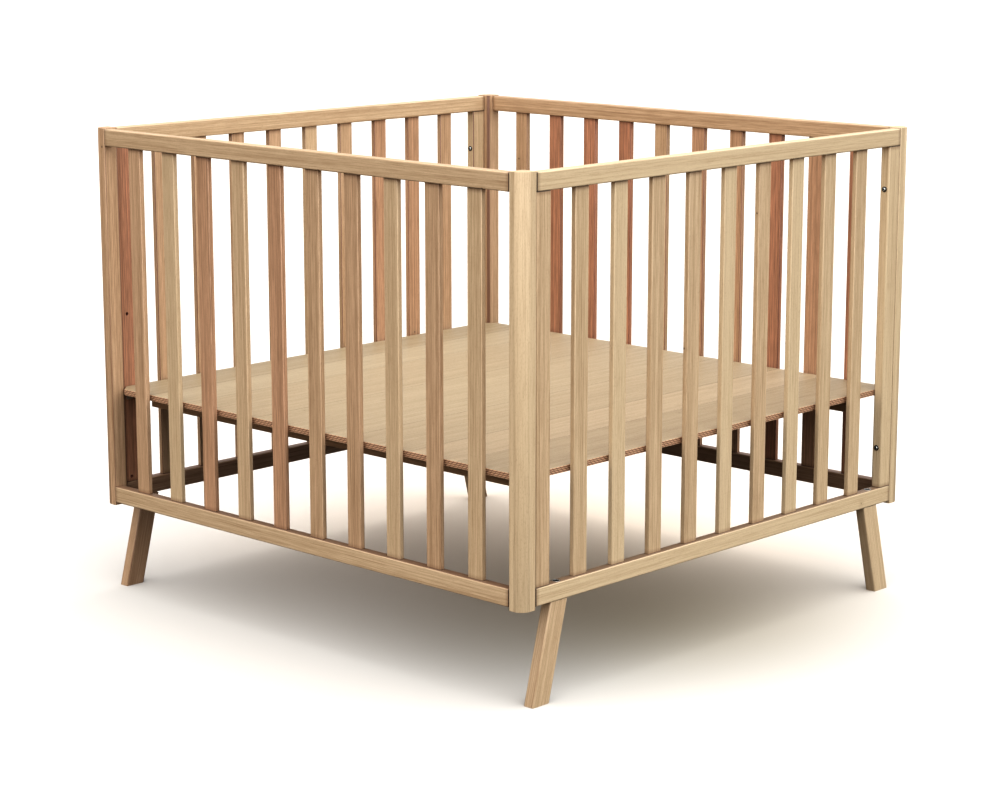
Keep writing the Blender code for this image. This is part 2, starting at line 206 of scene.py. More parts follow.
@dataclass(frozen=True)
class VeneerFinish:
    """The plywood floor's face: leaves of beech veneer laid edge to edge.

    Attributes:
        name: The material's name.
        slot: The record's material slot; not used.
        pale: Colour of the early wood.
        deep: Colour of the late wood.
        warm: Colour of the pink leaves.
        leaves: The leaves, from the left edge of the floor to the right.
        rings: Distance between growth rings as the peeled veneer shows them, in metres.
        seam: Width of the line where two leaves meet, in metres.
    """

    name: str
    slot: str
    pale: Colour = (0.442, 0.366, 0.250)
    deep: Colour = (0.268, 0.190, 0.105)
    warm: Colour = (0.415, 0.290, 0.182)
    leaves: tuple[VeneerLeaf, ...] = (
        VeneerLeaf(0.094, -0.45, 0.0),
        VeneerLeaf(0.100, 0.45, 0.05),
        VeneerLeaf(0.180, 0.05, 0.15),
        VeneerLeaf(0.222, 0.15, 0.10),
        VeneerLeaf(0.150, -0.05, 0.15),
        VeneerLeaf(0.105, 0.30, 0.30),
        VeneerLeaf(0.141, -0.35, 0.15),
    )
    rings: float = 0.0065
    seam: float = 0.0009

    def make(self, shop: "FinishShop") -> bpy.types.Material:
        """Build the material.

        Args:
            shop: Holder of the shared shader groups.

        Returns:
            The finished material.
        """
        material, graph, shader = shop.blank(self.name)
        width = sum(leaf.width for leaf in self.leaves)
        marks = graph.read("board_marks")
        local = graph.parts(graph.read("board_at"))
        across = graph.math("MULTIPLY_ADD", local[1], -1 / width, 0.5)
        bands = graph.bands(across, [leaf.width / width for leaf in self.leaves], self.leaf_tones())
        tones = graph.parts(bands)
        light = graph.math("MULTIPLY_ADD", tones[0], 2.0, -1.0)
        tone = graph.join(light, tones[1], 0.5)
        shift = graph.join(graph.math("MULTIPLY", tones[2], 40.0), 0.0, 0.0)
        grain = graph.vector("ADD", graph.read("grain_at"), shift)

        figure = graph.group(shop.timber)
        values = {
            "Grain": grain,
            "Tone": tone,
            "Marks": marks,
            "Pale": self.pale,
            "Deep": self.deep,
            "Warm": self.warm,
            "Ring Spacing": self.rings,
            "Ring Strength": 0.30,
            "Flecks": 0.35,
            "Knots": 0.5,
        }
        graph.fill(figure, values)
        seams = self.seam_mask(graph, across, width, local[0])
        graph.finish(shader, figure, bump=0.12, darken=seams)
        graph.fill(shader, {"Coat Weight": 0.08, "Coat Roughness": 0.35})
        return material

    def leaf_tones(self) -> list[Colour]:
        """Each leaf's lightness, pinkness and place in the log, packed as a colour."""
        draw = random.Random("veneer leaves")
        return [((leaf.light + 1) / 2, leaf.pink, draw.random()) for leaf in self.leaves]

    def seam_mask(self, graph: "Graph", across: Socket, width: float, along: Socket) -> Socket:
        """Thin broken lines where the leaves meet.

        Args:
            graph: The material's node graph.
            across: Place across the floor, from 0 to 1.
            width: Width of the floor in metres.
            along: Place along the seam in metres.

        Returns:
            1 on a seam and 0 elsewhere.
        """
        edge = 0.0
        mask: Socket | None = None
        for leaf in self.leaves[:-1]:
            edge += leaf.width / width
            away = graph.math("ABSOLUTE", graph.math("SUBTRACT", across, edge))
            line = graph.span(away, self.seam / width, self.seam * 0.4 / width)
            mask = line if mask is None else graph.math("MAXIMUM", mask, line)
        stitches = graph.noise(graph.join(along, 0.0, 0.0), 160.0, 1.0)
        broken = graph.span(stitches, 0.36, 0.50)
        return graph.math("MULTIPLY", mask, graph.math("MULTIPLY_ADD", broken, 0.6, 0.22))


@dataclass(frozen=True)
class PlyEdgeFinish:
    """The sawn edge of the plywood: thin plies with alternate grain.

    Attributes:
        name: The material's name.
        slot: The record's material slot; not used.
        long_ply: Colour of a ply whose grain runs along the edge.
        end_ply: Colour of a ply whose end grain shows.
        glue: Colour of the glue lines.
        plies: Number of plies in the board.
        thickness: Thickness of the board, in metres.
        chatter: Distance between the saw's slanted marks, in metres.
    """

    name: str
    slot: str
    thickness: float
    long_ply: Colour = (0.66, 0.43, 0.28)
    end_ply: Colour = (0.20, 0.085, 0.045)
    glue: Colour = (0.045, 0.02, 0.012)
    plies: int = 7
    chatter: float = 0.0085

    def make(self, shop: "FinishShop") -> bpy.types.Material:
        """Build the material.

        Args:
            shop: Holder of the shared shader groups.

        Returns:
            The finished material.
        """
        material, graph, shader = shop.blank(self.name)
        x, y, z = graph.parts(graph.read("board_at"))
        layer = graph.math("MULTIPLY_ADD", z, self.plies / self.thickness, self.plies / 2)
        place = graph.math("FRACT", layer)
        odd = graph.math("FLOORED_MODULO", graph.math("FLOOR", layer), 2.0)
        colour = graph.mix(odd, self.long_ply, self.end_ply)
        middle = graph.math("ABSOLUTE", graph.math("SUBTRACT", place, 0.5))
        line = graph.span(middle, 0.40, 0.49)
        colour = graph.mix(graph.math("MULTIPLY", line, 0.6), colour, self.glue)

        slant = graph.math("SUBTRACT", graph.math("MULTIPLY", graph.math("ADD", x, y), -1.0), z)
        wobble = graph.noise(graph.join(x, y, z), 60.0, 2.0)
        slant = graph.math("MULTIPLY_ADD", wobble, self.chatter * 0.5, slant)
        tooth = graph.math("FRACT", graph.math("DIVIDE", slant, self.chatter))
        groove = graph.span(graph.math("ABSOLUTE", graph.math("SUBTRACT", tooth, 0.5)), 0.22, 0.06)
        colour = graph.mix(graph.math("MULTIPLY", groove, 0.55), colour, self.glue)
        fibre = graph.noise(graph.scaled(graph.join(x, y, z), (900, 900, 2500)), 1.0, 3.0)
        colour = graph.mix(graph.math("MULTIPLY", fibre, 0.35), colour, (0.50, 0.31, 0.19))
        graph.link(colour, shader.inputs["Base Color"])
        graph.link(graph.math("MULTIPLY_ADD", fibre, 0.2, 0.5), shader.inputs["Roughness"])
        height = graph.math("SUBTRACT", fibre, groove)
        graph.bump(shader, height, 0.3, 0.0004)
        return material


@dataclass(frozen=True)
class MetalFinish:
    """Plated steel for the bolts, inserts and brackets.

    Attributes:
        name: The material's name.
        slot: The record's material slot; not used.
        bright: Colour of clean plating.
        dull: Colour where the plating has dulled.
        rough: Roughness of clean plating.
    """

    name: str
    slot: str
    bright: Colour
    dull: Colour
    rough: float

    def make(self, shop: "FinishShop") -> bpy.types.Material:
        """Build the material.

        Args:
            shop: Holder of the shared shader groups.

        Returns:
            The finished material.
        """
        material, graph, shader = shop.blank(self.name)
        plating = graph.group(shop.plating)
        graph.fill(plating, {"Bright": self.bright, "Dull": self.dull, "Rough": self.rough})
        graph.link(plating.outputs["Color"], shader.inputs["Base Color"])
        graph.link(plating.outputs["Roughness"], shader.inputs["Roughness"])
        graph.bump(shader, plating.outputs["Height"], 0.1, 0.0001)
        shader.inputs["Metallic"].default_value = 1.0
        return material


class Graph:
    """Short calls that lay out one shader node tree."""

    def __init__(self, tree: bpy.types.NodeTree) -> None:
        """Work on one tree.

        Args:
            tree: A material's or a group's node tree.
        """
        self.tree = tree

    def node(self, kind: str, **settings: object) -> bpy.types.Node:
        """Add a node.

        Args:
            kind: The node's type.
            settings: Values for the node's own properties.

        Returns:
            The new node.
        """
        made = self.tree.nodes.new(kind)
        for key, value in settings.items():
            setattr(made, key, value)
        return made

    def link(self, source: Socket, target: Socket) -> None:
        """Join an output to an input."""
        self.tree.links.new(source, target)

    def give(self, target: Socket, value: object) -> None:
        """Link a socket to an input, or set the input to a number, a vector or a colour."""
        if isinstance(value, bpy.types.NodeSocket):
            self.link(value, target)
        else:
            target.default_value = (*value, 1) if target.type == "RGBA" else value

    def fill(self, node: bpy.types.Node, values: dict[str, object]) -> None:
        """Give several named inputs of a node their values."""
        for name, value in values.items():
            self.give(node.inputs[name], value)

    def group(self, shared: bpy.types.NodeTree) -> bpy.types.Node:
        """Place a shared group in this tree."""
        return self.node("ShaderNodeGroup", node_tree=shared)

    def read(self, attribute: str) -> Socket:
        """Read one of the boards' vector attributes."""
        return self.node("ShaderNodeAttribute", attribute_name=attribute).outputs["Vector"]

    def math(self, operation: str, *values: object, clamp: bool = False) -> Socket:
        """Work out a number.

        Args:
            operation: The Math node's operation.
            values: Sockets or numbers, in the node's order.
            clamp: True to hold the result between 0 and 1.

        Returns:
            The result's socket.
        """
        made = self.node("ShaderNodeMath", operation=operation, use_clamp=clamp)
        for target, value in zip(made.inputs, values):
            self.give(target, value)
        return made.outputs[0]

    def vector(self, operation: str, first: object, second: object) -> Socket:
        """Work out a vector from two others."""
        made = self.node("ShaderNodeVectorMath", operation=operation)
        self.give(made.inputs[0], first)
        self.give(made.inputs[1], second)
        return made.outputs[0]

    def scaled(self, vector: Socket, factors: Colour) -> Socket:
        """Stretch a vector along its own axes."""
        return self.vector("MULTIPLY", vector, factors)

    def parts(self, vector: Socket) -> tuple[Socket, Socket, Socket]:
        """Take a vector apart."""
        made = self.node("ShaderNodeSeparateXYZ")
        self.link(vector, made.inputs[0])
        return tuple(made.outputs)

    def join(self, x: object, y: object, z: object) -> Socket:
        """Put three numbers together as a vector."""
        made = self.node("ShaderNodeCombineXYZ")
        for target, value in zip(made.inputs, (x, y, z)):
            self.give(target, value)
        return made.outputs[0]

    def noise(self, vector: Socket, scale: float, detail: float) -> Socket:
        """Soft noise between 0 and 1, about 0.5."""
        made = self.node("ShaderNodeTexNoise")
        self.link(vector, made.inputs["Vector"])
        made.inputs["Scale"].default_value = scale
        made.inputs["Detail"].default_value = detail
        return made.outputs[0]

    def span(self, value: Socket, start: float, end: float) -> Socket:
        """A smooth step that is 0 at start and 1 at end."""
        made = self.node("ShaderNodeMapRange", interpolation_type="SMOOTHSTEP")
        self.link(value, made.inputs["Value"])
        made.inputs["From Min"].default_value = start
        made.inputs["From Max"].default_value = end
        return made.outputs["Result"]

    def mix(self, factor: object, first: object, second: object, blend: str = "MIX") -> Socket:
        """Mix two colours.

        Args:
            factor: Share of the second colour.
            first: Colour or socket.
            second: Colour or socket.
            blend: The Mix node's blend type.

        Returns:
            The mixed colour's socket.
        """
        made = self.node("ShaderNodeMix", data_type="RGBA", blend_type=blend)
        self.give(made.inputs["Factor"], factor)
        self.give(made.inputs[6], first)
        self.give(made.inputs[7], second)
        return made.outputs[2]

    def bands(self, value: Socket, widths: list[float], colours: list[Colour]) -> Socket:
        """Plain bands of colour, one after another.

        Args:
            value: Place across the bands, from 0 to 1.
            widths: Each band's share of the whole.
            colours: Each band's colour.

        Returns:
            The colour's socket.
        """
        made = self.node("ShaderNodeValToRGB")
        ramp = made.color_ramp
        ramp.interpolation = "CONSTANT"
        start = 0.0
        for index, (width, colour) in enumerate(zip(widths, colours)):
            stop = ramp.elements[0] if index == 0 else ramp.elements.new(start)
            stop.position = start
            stop.color = (*colour, 1)
            start += width
        ramp.elements.remove(ramp.elements[-1])
        self.link(value, made.inputs[0])
        return made.outputs[0]

    def bump(self, shader: bpy.types.Node, height: Socket, strength: float, depth: float) -> None:
        """Give a shader a bumped normal."""
        made = self.node("ShaderNodeBump")
        made.inputs["Strength"].default_value = strength
        made.inputs["Distance"].default_value = depth
        self.link(height, made.inputs["Height"])
        self.link(made.outputs["Normal"], shader.inputs["Normal"])

    def feed_marks(self, figure: bpy.types.Node) -> None:
        """Join the boards' attributes to a timber group."""
        names = {"Grain": "grain_at", "Tone": "board_tone", "Marks": "board_marks"}
        self.fill(figure, {name: self.read(attribute) for name, attribute in names.items()})

    def finish(
        self,
        shader: bpy.types.Node,
        figure: bpy.types.Node,
        bump: float,
        depth: float = 0.0004,
        darken: Socket | None = None,
    ) -> None:
        """Join a timber group's outputs to a shader.

        Args:
            shader: The Principled shader.
            figure: The timber group's node.
            bump: Strength of the bump.
            depth: Height of the bump, in metres.
            darken: Mask of thin dark lines, if there are any.
        """
        colour = figure.outputs["Color"]
        if darken is not None:
            colour = self.mix(darken, colour, DARK_WOOD)
        self.link(colour, shader.inputs["Base Color"])
        self.link(figure.outputs["Roughness"], shader.inputs["Roughness"])
        self.bump(shader, figure.outputs["Height"], bump, depth)


@dataclass
class FinishShop:
    """Builds the shared shader groups once, and each finish's material once.

    Attributes:
        made: Materials already built, by name.
    """

    made: dict[str, bpy.types.Material] = field(default_factory=dict)

    def __post_init__(self) -> None:
        """Build the shared groups."""
        self.timber = self.timber_group()
        self.plating = self.plating_group()

    def blank(self, name: str) -> tuple[bpy.types.Material, Graph, bpy.types.Node]:
        """Start a material.

        Args:
            name: The material's name.

        Returns:
            The material, its graph and its Principled shader.
        """
        material = bpy.data.materials.new(name)
        material.use_nodes = True
        tree = material.node_tree
        shader = next(node for node in tree.nodes if node.type == "BSDF_PRINCIPLED")
        return material, Graph(tree), shader

    def dress(
        self, finish: TimberFinish | VeneerFinish | PlyEdgeFinish | MetalFinish
    ) -> bpy.types.Material:
        """The material for a finish, built at its first use."""
        if finish.name not in self.made:
            self.made[finish.name] = finish.make(self)
        return self.made[finish.name]

    def start_group(
        self, name: str, inputs: dict[str, object], outputs: tuple[str, ...]
    ) -> tuple[bpy.types.NodeTree, Graph, bpy.types.Node, bpy.types.Node]:
        """Start a shared group.

        Args:
            name: The group's name.
            inputs: Each input's name and default; the default's form sets the socket's type.
            outputs: Names of the outputs; Color is a colour and the rest are numbers.

        Returns:
            The tree, its graph, the group input node and the group output node.
        """
        tree = bpy.data.node_groups.new(name, "ShaderNodeTree")
        for key, default in inputs.items():
            kind = "NodeSocketFloat"
            if isinstance(default, tuple):
                kind = "NodeSocketColor" if len(default) == 4 else "NodeSocketVector"
            socket = tree.interface.new_socket(key, in_out="INPUT", socket_type=kind)
            socket.default_value = default
        for key in outputs:
            kind = "NodeSocketColor" if key == "Color" else "NodeSocketFloat"
            tree.interface.new_socket(key, in_out="OUTPUT", socket_type=kind)
        graph = Graph(tree)
        return tree, graph, graph.node("NodeGroupInput"), graph.node("NodeGroupOutput")

    def timber_group(self) -> bpy.types.NodeTree:
        """The solid figure of a board cut from a log.

        Grain is the point in the log, with the pith along X. Tone holds the board's lightness,
        redness and figure. Marks holds how much painted shade a face takes, whether it is end grain
        and whether it is a rounded edge. Joint Distance is how far the point is from where the
        board meets another; painted shade darkens the wood near a joint.
        """
        inputs = {
            "Grain": (0.0, 0.0, 0.0),
            "Tone": (0.0, 0.0, 0.0),
            "Marks": (0.0, 0.0, 0.0),
            "Pale": (0.6, 0.4, 0.2, 1.0),
            "Deep": (0.3, 0.2, 0.1, 1.0),
            "Warm": (0.4, 0.2, 0.1, 1.0),
            "Ring Spacing": 0.0025,
            "Ring Strength": 0.3,
            "Flecks": 0.3,
            "Knots": 0.5,
            "Joint Distance": 1.0,
        }
        tree, graph, given, result = self.start_group(
            "timber_figure", inputs, ("Color", "Roughness", "Height")
        )
        grain = given.outputs["Grain"]
        light, red, figure = graph.parts(given.outputs["Tone"])
        shaded, end, edge = graph.parts(given.outputs["Marks"])

        drift = graph.noise(graph.scaled(grain, (1.3, 6.0, 6.0)), 1.0, 2.0)
        _, y, z = graph.parts(grain)
        radius = graph.math(
            "SQRT", graph.math("ADD", graph.math("MULTIPLY", y, y), graph.math("MULTIPLY", z, z))
        )
        radius = graph.math("MULTIPLY_ADD", drift, 0.010, radius)
        ring = graph.math("FRACT", graph.math("DIVIDE", radius, given.outputs["Ring Spacing"]))
        late = graph.math("POWER", ring, 3.0)
        broad = graph.noise(graph.scaled(grain, (1.2, 75.0, 75.0)), 1.0, 1.0)
        streak = graph.noise(graph.scaled(grain, (3.2, 420.0, 420.0)), 1.0, 2.0)
        fibre = graph.noise(graph.scaled(grain, (26.0, 1100.0, 1100.0)), 1.0, 2.0)

        depth = graph.math("MULTIPLY_ADD", graph.math("SUBTRACT", broad, 0.5), 0.55, 0.42)
        for layer, weight in ((streak, 1.30), (fibre, 1.60)):
            weight = graph.math("MULTIPLY", figure, weight)
            depth = graph.math("MULTIPLY_ADD", graph.math("SUBTRACT", layer, 0.5), weight, depth)
        rings = graph.math("MULTIPLY", graph.math("SUBTRACT", late, 0.25), figure)
        depth = graph.math("MULTIPLY_ADD", rings, given.outputs["Ring Strength"], depth)
        depth = graph.math("MULTIPLY_ADD", light, -0.34, depth)
        depth = graph.math("MULTIPLY_ADD", edge, -0.05, depth)
        depth = graph.math("MULTIPLY_ADD", end, 0.10, depth, clamp=True)
        colour = graph.mix(depth, given.outputs["Pale"], given.outputs["Deep"])

        warmth = graph.math("MULTIPLY", red, 0.85, clamp=True)
        value = graph.math("MULTIPLY_ADD", depth, -0.9, 1.38)
        warm = graph.mix(1.0, given.outputs["Warm"], graph.join(value, value, value), "MULTIPLY")
        colour = graph.mix(warmth, colour, warm)
        # Painted shade: faces marked as shaded are darkened towards a deep red-brown.
        colour = graph.mix(shaded, colour, (0.080, 0.012, 0.004))

        dashes = graph.noise(graph.scaled(grain, (210.0, 1300.0, 1300.0)), 1.0, 1.0)
        dashes = graph.math("MULTIPLY", graph.span(dashes, 0.58, 0.70), given.outputs["Flecks"])
        colour = graph.mix(dashes, colour, (0.20, 0.10, 0.05))
        knots = graph.node("ShaderNodeTexVoronoi", feature="F1")
        graph.link(grain, knots.inputs["Vector"])
        knots.inputs["Scale"].default_value = 12.5
        core = graph.span(knots.outputs["Distance"], 0.034, 0.014)
        halo = graph.span(knots.outputs["Distance"], 0.16, 0.03)
        colour = graph.mix(graph.math("MULTIPLY", halo, 0.22), colour, given.outputs["Deep"])
        core = graph.math("MULTIPLY", core, given.outputs["Knots"])
        colour = graph.mix(core, colour, DARK_WOOD)
        distance = given.outputs["Joint Distance"]
        # Painted shade: the wood darkens over the last 9 mm before a joint, where the other board
        # shades it.
        shade = graph.math("MULTIPLY", graph.span(distance, 0.009, 0.0), 0.45)
        colour = graph.mix(shade, colour, (0.16, 0.07, 0.035))
        line = graph.math("MULTIPLY", graph.span(distance, 0.0013, 0.0003), 0.80)
        colour = graph.mix(line, colour, (0.035, 0.02, 0.012))
        graph.link(colour, result.inputs["Color"])

        rough = graph.math("MULTIPLY_ADD", fibre, 0.16, 0.38)
        rough = graph.math("MULTIPLY_ADD", end, 0.18, rough)
        graph.link(graph.math("MULTIPLY_ADD", dashes, 0.2, rough), result.inputs["Roughness"])
        height = graph.math("MULTIPLY_ADD", late, -0.5, fibre)
        height = graph.math("MULTIPLY_ADD", dashes, -0.8, height)
        graph.link(height, result.inputs["Height"])
        return tree

    def plating_group(self) -> bpy.types.NodeTree:
        """Plated steel with dull patches and fine turning marks."""
        inputs = {"Bright": (0.6, 0.6, 0.6, 1.0), "Dull": (0.3, 0.3, 0.3, 1.0), "Rough": 0.3}
        tree, graph, given, result = self.start_group(
            "plated_steel", inputs, ("Color", "Roughness", "Height")
        )
        place = graph.node("ShaderNodeTexCoord").outputs["Object"]
        patch = graph.span(graph.noise(place, 900.0, 3.0), 0.40, 0.66)
        fine = graph.noise(place, 6000.0, 2.0)
        colour = graph.mix(patch, given.outputs["Bright"], given.outputs["Dull"])
        graph.link(colour, result.inputs["Color"])
        rough = graph.math("MULTIPLY_ADD", patch, 0.15, given.outputs["Rough"])
        graph.link(graph.math("MULTIPLY_ADD", fine, 0.08, rough), result.inputs["Roughness"])
        graph.link(fine, result.inputs["Height"])
        return tree


POST = TimberFinish("beech_posts", "post_beech", ring_strength=0.28)
RAIL = TimberFinish("beech_rails", "rail_beech", rings=0.0028, ring_strength=0.26)
SLAT = TimberFinish("beech_slats", "slat_beech", rings=0.0022)
LEG = TimberFinish("beech_legs", "leg_beech", rings=0.0026)
# The battens are drawn darker and more flecked than the other beech.
BATTEN = TimberFinish(
    "raw_battens", "batten_beech", pale=(0.42, 0.28, 0.16), deep=(0.24, 0.14, 0.08), flecks=0.5
)
VENEER = VeneerFinish("floor_veneer", "floor_plywood")
ZINC = MetalFinish("bright_zinc", "zinc_steel", (0.74, 0.74, 0.72), (0.52, 0.52, 0.50), 0.24)
# Black steel for the collars; the same black is painted inside the bolts' hexagon sockets and
# inside the leg bolts' cups as shade.
BLACK_STEEL_AND_SHADE = MetalFinish("blacked_steel", "zinc_steel", (0.06, 0.06, 0.06), (0.03, 0.03, 0.03), 0.38)


def cuts_named(words: str) -> tuple[Cut, ...]:
    """The cuts of the tree that some words name, in their order."""
    return tuple(Cut[word.upper()] for word in words.split())


# Each board's cut is partly its own tone and partly painted light: the red and warm cuts of the
# back slats and of the left front stile paint the reddish shade inside the pen, and the pale cuts
# on the right side paint the brighter light that falls there.
SLAT_CUTS_AND_PAINTED_LIGHT = {
    "front": cuts_named("tan plain warm plain warm tan tan plain tan plain"),
    "back": cuts_named("tan red red red tan warm warm red warm red"),
    "left": cuts_named("tan tan tan tan plain tan warm warm tan"),
    "right": cuts_named("plain pale plain plain pale plain pale plain plain"),
}
BOARD_CUTS_AND_PAINTED_LIGHT = {
    board: cut
    for cut, boards in {
        Cut.PALE: "post_front_right post_back_right right_top_rail right_bottom_rail "
        "right_stile_back leg_back_right",
        Cut.PLAIN: "front_top_rail front_bottom_rail left_top_rail left_stile_back "
        "right_stile_front leg_front_right leg_back_left",
        Cut.TAN: "post_front_left post_back_left back_top_rail back_bottom_rail "
        "left_bottom_rail leg_front_left",
        Cut.RED: "left_stile_front",
    }.items()
    for board in boards.split()
}


# --- Shaping ----------------------------------------------------------------------------------
def turned(profile: list[tuple[float, float]], steps: int = 24) -> bmesh.types.BMesh:
    """Turn a closed solid on the Z axis.

    Args:
        profile: Radius and height of each corner, from the axis out, down and back to the axis.
        steps: Faces around the axis.

    Returns:
        The closed shape.
    """
    bm = bmesh.new()
    verts = [bm.verts.new((radius, 0, height)) for radius, height in profile]
    edges = [bm.edges.new(pair) for pair in zip(verts, verts[1:])]
    bmesh.ops.spin(
        bm,
        geom=verts + edges,
        cent=(0, 0, 0),
        axis=(0, 0, 1),
        angle=math.tau,
        steps=steps,
        use_merge=True,
        use_duplicate=False,
    )
    bmesh.ops.remove_doubles(bm, verts=bm.verts, dist=NEAR)
    bmesh.ops.recalc_face_normals(bm, faces=bm.faces)
    for face in bm.faces:
        face.smooth = True
    return bm


def aim(point: Vector, direction: Vector) -> Matrix:
    """Place a turned shape with its own +Z along a direction.

    Args:
        point: Where the shape's origin goes.
        direction: Where its +Z points.

    Returns:
        The placing matrix.
    """
    return Matrix.Translation(point) @ direction.to_track_quat("Z", "Y").to_matrix().to_4x4()


def merged(shapes: list[tuple[bmesh.types.BMesh, Matrix]]) -> bmesh.types.BMesh:
    """Put several shapes into one bmesh, each at its place.

    Args:
        shapes: Each shape with its placing matrix. The shapes are freed.

    Returns:
        The joined bmesh.
    """
    whole = bmesh.new()
    for shape, place in shapes:
        bmesh.ops.transform(shape, matrix=place, verts=shape.verts)
        mesh = bpy.data.meshes.new("part")
        shape.to_mesh(mesh)
        shape.free()
        whole.from_mesh(mesh)
        bpy.data.meshes.remove(mesh)
    return whole


def carved(blank: bmesh.types.BMesh, tool: bmesh.types.BMesh) -> bmesh.types.BMesh:
    """Cut one shape out of another.

    Args:
        blank: The shape to cut. It is freed.
        tool: The closed shapes to take away. It is freed.

    Returns:
        What is left.
    """
    pair = []
    for is_tool, (name, shape) in enumerate((("blank", blank), ("tool", tool))):
        layer = shape.faces.layers.int.new("carved")
        for face in shape.faces:
            face[layer] = is_tool
        mesh = bpy.data.meshes.new(name)
        shape.to_mesh(mesh)
        shape.free()
        item = bpy.data.objects.new(name, mesh)
        bpy.context.scene.collection.objects.link(item)
        pair.append(item)
    cut = pair[0].modifiers.new("cut", "BOOLEAN")
    cut.operation = "DIFFERENCE"
    cut.solver = "EXACT"
    cut.object = pair[1]
    graph = bpy.context.evaluated_depsgraph_get()
    mesh = bpy.data.meshes.new_from_object(pair[0].evaluated_get(graph))
    left = bmesh.new()
    left.from_mesh(mesh)
    bmesh.ops.remove_doubles(left, verts=left.verts, dist=NEAR)
    bpy.data.meshes.remove(mesh)
    for item in pair:
        bpy.data.objects.remove(item, do_unlink=True)
    return left


def hand_over(
    bm: bmesh.types.BMesh,
    name: str,
    body: str,
    materials: list[bpy.types.Material],
    nodes: tuple[str, ...] = (),
) -> bpy.types.Object:
    """Make a finished shape an object of the pen.

    Args:
        bm: The shape, in the pen's frame. It is freed.
        name: The piece's name.
        body: The moving body that the piece rides on.
        materials: Its materials, in slot order.
        nodes: The solids that the piece stands for.

    Returns:
        The new object.
    """
    mesh = bpy.data.meshes.new(name)
    bm.to_mesh(mesh)
    bm.free()
    for material in materials:
        mesh.materials.append(material)
    item = bpy.data.objects.new(name, mesh)
    bpy.context.scene.collection.objects.link(item)
    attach(item, body)
    if nodes:
        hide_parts(*nodes)
    LOG.info("%s: %d faces on %s", name, len(mesh.polygons), body)
    return item


